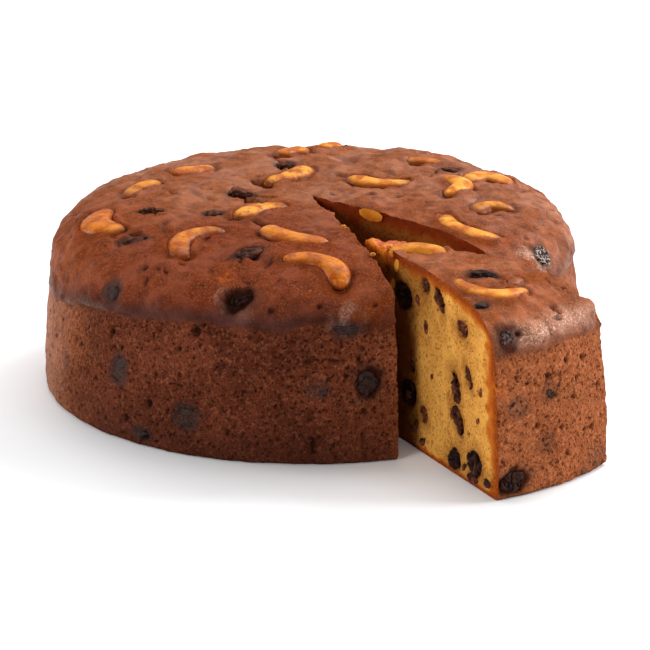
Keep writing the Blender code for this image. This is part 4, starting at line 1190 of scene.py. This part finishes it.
class Recipe:
    """A node tree with short calls for adding and joining nodes."""

    def __init__(self, tree):
        self.tree = tree

    def add(self, kind, inputs=None, **settings):
        """A new node with its settings and its inputs, each a value or another node's output."""
        node = self.tree.nodes.new(kind)
        for name, value in settings.items():
            setattr(node, name, value)
        for name, value in (inputs or {}).items():
            if isinstance(value, bpy.types.NodeSocket):
                self.tree.links.new(value, node.inputs[name])
            else:
                node.inputs[name].default_value = value
        return node

    def painted(self, name):
        """What the mesh has painted on it under a name."""
        return self.add("ShaderNodeAttribute", attribute_name=name).outputs["Fac"]

    def sums(self, operation, first, second, third=None):
        """One step of arithmetic."""
        inputs = {0: first, 1: second}
        if third is not None:
            inputs[2] = third
        return self.add("ShaderNodeMath", inputs, operation=operation).outputs["Value"]

    def blend(self, share, first, second):
        """Mix of two colours, each an everyday (red, green, blue) or a node's output."""
        first, second = (
            tint if isinstance(tint, bpy.types.NodeSocket) else colour(*tint) for tint in (first, second)
        )
        return self.add("ShaderNodeMix", {0: share, 6: first, 7: second}, data_type="RGBA").outputs[2]

    def over(self, below, *coats):
        """A colour with others laid over it in turn, each a share, a strength and a colour."""
        for share, strength, tint in coats:
            below = self.blend(self.sums("MULTIPLY", share, strength), below, tint)
        return below

    def ramp(self, value, low, high, start=0.0, end=1.0):
        """Smooth rise of a value from start to end."""
        inputs = {"Value": value, "From Min": low, "From Max": high, "To Min": start, "To Max": end}
        return self.add("ShaderNodeMapRange", inputs, interpolation_type="SMOOTHSTEP").outputs["Result"]

    def mottle(self, size, low, high, shift=0.0):
        """The shared effect of soft patches."""
        values = {"Size": size, "Low": low, "High": high, "Shift": shift}
        return self.add("ShaderNodeGroup", values, node_tree=MOTTLE).outputs["Mottle"]

    def pores(self, size, share, shift=0.0):
        """The shared effect of scattered pores."""
        values = {"Size": size, "Share": share, "Shift": shift}
        return self.add("ShaderNodeGroup", values, node_tree=PORES).outputs["Pores"]

    def finish(self, shader, tint, height, distance=MM):
        """Joins a colour and a relief to the shader."""
        self.tree.links.new(tint, shader["Base Color"])
        bump = self.add("ShaderNodeBump", {"Height": height, "Distance": distance, "Strength": 1.0})
        self.tree.links.new(bump.outputs["Normal"], shader["Normal"])


def shared_effect(name, output, **defaults):
    """A node group to fill, its inputs and output, the shifted place on the piece and its fineness."""
    tree = bpy.data.node_groups.new(name, "ShaderNodeTree")
    for label, value in defaults.items():
        socket = tree.interface.new_socket(label, in_out="INPUT", socket_type="NodeSocketFloat")
        socket.default_value = value
    tree.interface.new_socket(output, in_out="OUTPUT", socket_type="NodeSocketFloat")
    recipe, given = Recipe(tree), tree.nodes.new("NodeGroupInput").outputs
    made = tree.nodes.new("NodeGroupOutput").inputs[output]
    place = recipe.add("ShaderNodeTexCoord").outputs["Object"]
    shifted = recipe.add("ShaderNodeVectorMath", {0: place, 1: given["Shift"]}, operation="ADD").outputs[0]
    return recipe, given, made, shifted, recipe.sums("DIVIDE", 1.0, given["Size"])


def mottle_effect():
    """Soft patches: 0 to 1 between two noise levels."""
    recipe, given, made, place, fineness = shared_effect(
        "Baked Mottle", "Mottle", Size=0.01, Low=0.4, High=0.6, Shift=0.0
    )
    values = {"Vector": place, "Scale": fineness, "Detail": 4.0, "Roughness": 0.6}
    field = recipe.add("ShaderNodeTexNoise", values).outputs["Fac"]
    recipe.tree.links.new(recipe.ramp(field, given["Low"], given["High"]), made)
    return recipe.tree


def pore_effect():
    """Scattered irregular pores: 1 in each, 0 between."""
    recipe, given, made, place, fineness = shared_effect(
        "Crumb Pores", "Pores", Size=0.002, Share=0.35, Shift=0.0
    )
    values = {"Vector": place, "Scale": fineness, "Detail": 2.0}
    warp = recipe.add("ShaderNodeTexNoise", values).outputs["Color"]
    reach = recipe.sums("MULTIPLY", given["Size"], 0.9)
    bent = recipe.add("ShaderNodeVectorMath", {0: warp, "Scale": reach}, operation="SCALE").outputs[0]
    warped = recipe.add("ShaderNodeVectorMath", {0: place, 1: bent}, operation="ADD").outputs[0]
    near = recipe.add("ShaderNodeTexVoronoi", {"Vector": warped, "Scale": fineness}).outputs["Distance"]
    inner = recipe.sums("MULTIPLY", given["Share"], 0.35)
    recipe.tree.links.new(recipe.ramp(near, given["Share"], inner), made)
    return recipe.tree


MOTTLE = mottle_effect()
PORES = pore_effect()


def new_material(name):
    """A material, a recipe for its tree and its shader's sockets."""
    material = bpy.data.materials.new(name)
    material.use_nodes = True
    return material, Recipe(material.node_tree), material.node_tree.nodes["Principled BSDF"].inputs


def crust_material():
    """Browned skin: satin top crust, rolled rim, and porous wall where the tin was."""
    material, recipe, shader = new_material("baked crust")
    painted = recipe.painted
    wall, front, painted_side_light, bloom_and_sheen = painted("wall"), painted("front"), painted("painted_side_light"), painted("bloom_and_sheen")
    broad = recipe.mottle(0.016, 0.36, 0.64)
    patch = recipe.mottle(0.0055, 0.42, 0.66, 3.0)
    grain = recipe.mottle(0.0009, 0.35, 0.65, 5.0)
    crumbs = recipe.mottle(0.0016, 0.50, 0.62, 7.0)
    sugar = recipe.mottle(0.0007, 0.50, 0.60, 15.0)
    shreds = recipe.mottle(0.0030, 0.44, 0.58, 21.0)
    calm = recipe.mottle(0.018, 0.44, 0.58, 31.0)
    pores = recipe.pores(0.0021, 0.34)
    pinholes = recipe.pores(0.0011, 0.46, 13.0)

    top = recipe.blend(front, (148, 78, 32), (123, 49, 14))
    top = recipe.blend(calm, top, recipe.blend(front, (142, 83, 50), (118, 55, 31)))
    top = recipe.over(
        top,
        # Painted side light: the top is lighter and warmer where the side lights fall.
        (painted_side_light, 0.55, (164, 88, 38)),
        (patch, 0.58, (72, 28, 12)),
        (grain, recipe.sums("MULTIPLY_ADD", calm, -0.20, 0.40), (64, 27, 13)),
        (sugar, recipe.sums("MULTIPLY_ADD", calm, -0.26, 0.44), (172, 100, 60)),
        # Painted shade in the creases.
        (painted("crease"), 0.40, (62, 27, 14)),
        (painted("halo"), 0.45, (132, 58, 16)),
    )
    side = recipe.blend(broad, (84, 39, 23), (99, 47, 28))
    # Painted side light: the wall and its pores are lighter and warmer where the side lights fall.
    side = recipe.blend(painted_side_light, side, recipe.blend(broad, (134, 72, 40), (150, 84, 50)))
    bright = recipe.blend(painted_side_light, (140, 82, 55), (188, 118, 72))
    dark = recipe.blend(painted_side_light, (46, 20, 12), (80, 34, 15))
    crowded = recipe.sums("MULTIPLY_ADD", patch, 0.35, 0.65)
    side = recipe.over(side, (crumbs, 0.42, bright), (pinholes, 0.62, dark), (pores, crowded, dark))
    grainy = recipe.sums("MULTIPLY_ADD", sugar, 0.34, recipe.sums("MULTIPLY_ADD", grain, 0.36, 0.16))
    painted_glints = recipe.ramp(recipe.sums("MULTIPLY", bloom_and_sheen, sugar), 0.25, 0.75)
    whole = recipe.over(
        recipe.blend(wall, top, side),
        # The rim band: the rim's darker tone with painted shade under its lip.
        (painted("rim"), 0.90, recipe.blend(broad, (50, 23, 17), (72, 43, 39))),
        # Painted shade towards the floor.
        (painted("foot"), 0.50, (58, 27, 19)),
        (painted("torn"), 1.0, recipe.blend(shreds, (166, 70, 12), (206, 110, 28))),
        # Sugar bloom and painted sheen: pale grains, and painted highlights where they are thickest.
        (bloom_and_sheen, grainy, (218, 172, 146)),
        (painted_glints, 0.45, (214, 176, 156)),
        # Raisin stains, and the painted shadow at the wedge's right corner.
        (painted("stain_and_shadow"), 0.72, recipe.blend(grain, (42, 32, 31), (64, 49, 44))),
        # Painted shade in pits, pores, cracks, the gaps by the nuts and the raisin holes.
        (painted("hollow_shade"), 0.93, recipe.blend(painted_side_light, (32, 13, 8), (62, 24, 10))),
    )

    # The far top has a faint sheen, stronger where the crust is calm, and the patches of sugar bloom
    # and painted sheen have one too.
    behind = recipe.sums("SUBTRACT", 1.0, recipe.sums("MAXIMUM", front, wall))
    sheen = recipe.sums("MULTIPLY", behind, recipe.sums("MULTIPLY_ADD", calm, 0.36, 0.32))
    recipe.tree.links.new(recipe.sums("MULTIPLY_ADD", bloom_and_sheen, 0.50, sheen), shader["Coat Weight"])
    shader["Coat IOR"].default_value = 1.28
    shader["Coat Roughness"].default_value = 0.45
    shader["Specular IOR Level"].default_value = 0.03
    dull = recipe.sums("MULTIPLY_ADD", calm, -0.12, recipe.sums("MULTIPLY_ADD", wall, 0.30, 0.44))
    recipe.tree.links.new(recipe.sums("MULTIPLY_ADD", patch, 0.08, dull), shader["Roughness"])
    rough = recipe.sums("MULTIPLY_ADD", calm, -0.20, 0.28)
    height = recipe.sums("MULTIPLY", recipe.sums("MULTIPLY_ADD", sugar, -0.6, grain), rough)
    height = recipe.sums("MULTIPLY_ADD", recipe.sums("MULTIPLY", pores, wall), -0.45, height)
    height = recipe.sums("MULTIPLY_ADD", recipe.sums("MULTIPLY", pinholes, wall), -0.20, height)
    height = recipe.sums("MULTIPLY_ADD", crumbs, recipe.sums("MULTIPLY", wall, 0.10), height)
    recipe.finish(shader, whole, height)
    return material


def crumb_material():
    """Golden crumb of the cut faces, browning to crust at their edges."""
    material, recipe, shader = new_material("fruited crumb")
    band, crumb_shade_and_darkening = recipe.painted("band"), recipe.painted("crumb_shade_and_darkening")
    broad = recipe.mottle(0.012, 0.36, 0.64)
    grain = recipe.mottle(0.0009, 0.35, 0.65, 5.0)
    fleck = recipe.mottle(0.0026, 0.58, 0.68, 9.0)
    shreds = recipe.mottle(0.0040, 0.44, 0.60, 3.0)
    pores = recipe.pores(0.0014, 0.36)
    # Painted shade: the crumb, its browning and its crust band are darker where the notch and the cake shade
    # the cut faces.
    crumb = recipe.over(
        recipe.blend(broad, (206, 144, 62), (184, 120, 46)),
        (grain, 0.40, (226, 172, 90)),
        (pores, 0.60, (128, 74, 24)),
        (fleck, 0.45, (128, 76, 28)),
        (crumb_shade_and_darkening, 0.92, (106, 46, 10)),
        (recipe.painted("soaked"), 0.45, (118, 64, 22)),
    )
    crust = recipe.blend(crumb_shade_and_darkening, recipe.blend(grain, (116, 48, 12), (150, 68, 18)), (104, 36, 8))
    browning = recipe.blend(crumb_shade_and_darkening, (172, 88, 22), (114, 45, 9))
    whole = recipe.over(
        recipe.blend(recipe.ramp(band, 0.0, 0.55), crumb, browning),
        (recipe.ramp(band, 0.45, 1.0), 1.0, crust),
        (recipe.painted("torn"), 1.0, recipe.blend(shreds, (172, 74, 14), (204, 116, 34))),
        # Painted shade in the crumb's hollows and round the cut raisins.
        (recipe.painted("hollow_shade"), 0.80, (70, 34, 14)),
    )
    shader["Roughness"].default_value = 0.86
    shader["Specular IOR Level"].default_value = 0.04
    height = recipe.sums("MULTIPLY_ADD", pores, -0.30, recipe.sums("MULTIPLY", grain, 0.12))
    recipe.finish(shader, whole, height)
    return material


def base_material():
    """Underside, browned against the tin's floor."""
    material, recipe, shader = new_material("browned base")
    pores = recipe.pores(0.0026, 0.30)
    browned = recipe.blend(recipe.mottle(0.014, 0.36, 0.64), (112, 62, 36), (140, 80, 46))
    shader["Roughness"].default_value = 0.85
    recipe.finish(shader, recipe.over(browned, (pores, 0.6, (72, 36, 20))), pores, -0.3 * MM)
    return material


def cashew_material():
    """Roasted cashew: pale gold to deep orange, glossy with the cake's fat."""
    material, recipe, shader = new_material("roasted cashew")
    toast = recipe.painted("toast")
    patch = recipe.mottle(0.0045, 0.40, 0.66, 2.0)
    grain = recipe.mottle(0.0011, 0.35, 0.65, 5.0)
    nut = recipe.over(
        recipe.blend(toast, (186, 98, 14), (136, 50, 2)),
        (patch, 0.60, (148, 62, 4)),
        # Painted highlight: paler where the nut faces up, and over the cut nuts.
        (recipe.painted("paleness_and_highlight"), 0.60, recipe.blend(toast, (240, 172, 62), (200, 104, 16))),
        (grain, 0.16, (236, 172, 64)),
        # Painted shade in the wrinkles.
        (recipe.painted("crease"), 0.75, (104, 40, 4)),
        # The crust's film and painted shade towards the crust.
        (recipe.painted("sunk_film_and_shade"), 0.88, (96, 36, 7)),
    )
    recipe.tree.links.new(recipe.sums("MULTIPLY_ADD", patch, 0.12, 0.26), shader["Roughness"])
    shader["Specular IOR Level"].default_value = 0.09
    shader["Subsurface Weight"].default_value = 0.05
    shader["Subsurface Radius"].default_value = (0.0022, 0.0011, 0.0005)
    shader["Subsurface Scale"].default_value = 1.0
    height = recipe.sums("MULTIPLY_ADD", grain, 0.035, recipe.sums("MULTIPLY", patch, 0.10))
    recipe.finish(shader, nut, height)
    return material


def raisin_material():
    """Raisin skin: near black where open, greyed where crust films it, redder where cut."""
    material, recipe, shader = new_material("raisin skin")
    film = recipe.painted("film")
    patch = recipe.mottle(0.0022, 0.38, 0.62, 4.0)
    grain = recipe.mottle(0.0008, 0.35, 0.65, 5.0)
    grains = recipe.mottle(0.0009, 0.50, 0.56, 17.0)
    skin = recipe.over(
        recipe.blend(patch, (24, 13, 11), (54, 29, 21)),
        (recipe.painted("ruddy"), 1.0, recipe.blend(patch, (88, 40, 24), (150, 80, 46))),
        (film, 0.85, recipe.blend(grain, (46, 38, 39), (66, 55, 53))),
        # Painted shade in the folds.
        (recipe.painted("fold_shade"), 0.70, (22, 11, 10)),
        # Sugar bloom and painted highlights: white grains on some raisins.
        (recipe.painted("bloom_and_sheen"), grains, (196, 180, 172)),
    )
    recipe.tree.links.new(recipe.sums("MULTIPLY_ADD", film, 0.30, 0.42), shader["Roughness"])
    shader["Specular IOR Level"].default_value = 0.05
    recipe.finish(shader, skin, grain, 0.08 * MM)
    return material


# ---------------------------------------------------------------- studio

CAMERA_PLACE = (0.0, -1.5127, 0.5211)
CAMERA_YAW = 0.00297
CAMERA_DIP = 0.32036
CAMERA_ROLL = 0.00593
CAMERA_LENS = 235.9
SENSOR_WIDTH = 36.0
ROOM_LIGHT = 0.50
LIGHTS_AIM = (0.0, 0.0, 0.03)
FLOOR_REACH = 4.0
# Square soft lights: name, bearing, elevation, distance, size and power.
LIGHTS = (
    ("overhead", 175.0, 66.0, 1.7, 1.2, 17.0),
    ("key_behind_right", 135.0, 42.0, 1.5, 0.5, 12.0),
    ("side_right", 94.0, 18.0, 1.4, 0.7, 25.0),
    ("side_left", -38.0, 20.0, 1.5, 0.45, 9.0),
    ("behind_left", -106.0, 16.0, 1.5, 0.6, 9.0),
)


def add_camera():
    """A long lens in front of the cake, a little above it."""
    camera = bpy.data.cameras.new("camera")
    camera.lens = CAMERA_LENS
    camera.sensor_width = SENSOR_WIDTH
    eye = bpy.data.objects.new("camera", camera)
    bpy.context.scene.collection.objects.link(eye)
    aim = Matrix.Rotation(-CAMERA_YAW, 4, "Z") @ Matrix.Rotation(math.pi / 2.0 - CAMERA_DIP, 4, "X")
    eye.matrix_world = Matrix.Translation(CAMERA_PLACE) @ aim @ Matrix.Rotation(-CAMERA_ROLL, 4, "Z")
    bpy.context.scene.camera = eye


def add_light(name, bearing, elevation, distance, size, power):
    """A light aimed at the middle of the cake."""
    lamp = bpy.data.lights.new(name, "AREA")
    lamp.size = size
    lamp.energy = power
    light = bpy.data.objects.new(name, lamp)
    bpy.context.scene.collection.objects.link(light)
    lift = math.radians(elevation)
    away = Vector(direction(bearing)) * math.cos(lift) + Vector((0.0, 0.0, math.sin(lift)))
    light.location = Vector(LIGHTS_AIM) + away * distance
    light.rotation_euler = away.to_track_quat("Z", "Y").to_euler()


def add_studio():
    """Camera, lights and pale floor."""
    add_camera()
    for light in LIGHTS:
        add_light(*light)
    world = bpy.data.worlds.new("studio")
    world.use_nodes = True
    recipe = Recipe(world.node_tree)
    backdrop = world.node_tree.nodes["Background"]
    backdrop.inputs["Color"].default_value = (1.0, 1.0, 1.0, 1.0)
    seen = recipe.add("ShaderNodeLightPath").outputs["Is Camera Ray"]
    strength = recipe.sums("MULTIPLY_ADD", seen, 1.0 - ROOM_LIGHT, ROOM_LIGHT)
    recipe.tree.links.new(strength, backdrop.inputs["Strength"])
    bpy.context.scene.world = world
    bpy.context.scene.view_settings.view_transform = "Standard"
    floor_mesh = bpy.data.meshes.new("floor")
    corners = [(x * FLOOR_REACH, y * FLOOR_REACH, 0.0) for x, y in ((-1, -1), (1, -1), (1, 1), (-1, 1))]
    floor_mesh.from_pydata(corners, [], [(0, 1, 2, 3)])
    material, _, shader = new_material("pale floor")
    shader["Base Color"].default_value = (0.80, 0.80, 0.81, 1.0)
    shader["Roughness"].default_value = 0.9
    floor_mesh.materials.append(material)
    floor = bpy.data.objects.new("floor", floor_mesh)
    bpy.context.scene.collection.objects.link(floor)


def main():
    """Builds the studio and every finished piece."""
    add_studio()
    bodies = (crust_material(), crumb_material(), base_material())
    wedge_fruits = [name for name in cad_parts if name.startswith(("raisin_wedge", "raisin_cut"))]
    cake_fruits = [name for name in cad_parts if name.startswith("raisin") and name not in wedge_fruits]
    add_cake(bodies, sorted(cake_fruits))
    add_wedge(bodies, sorted(wedge_fruits))
    add_cashews(cashew_material())
    fruit = raisin_material()
    add_raisins(fruit)
    add_small_raisins(fruit)
    add_crumbs(bodies[1])
    bpy.context.view_layer.update()


main()
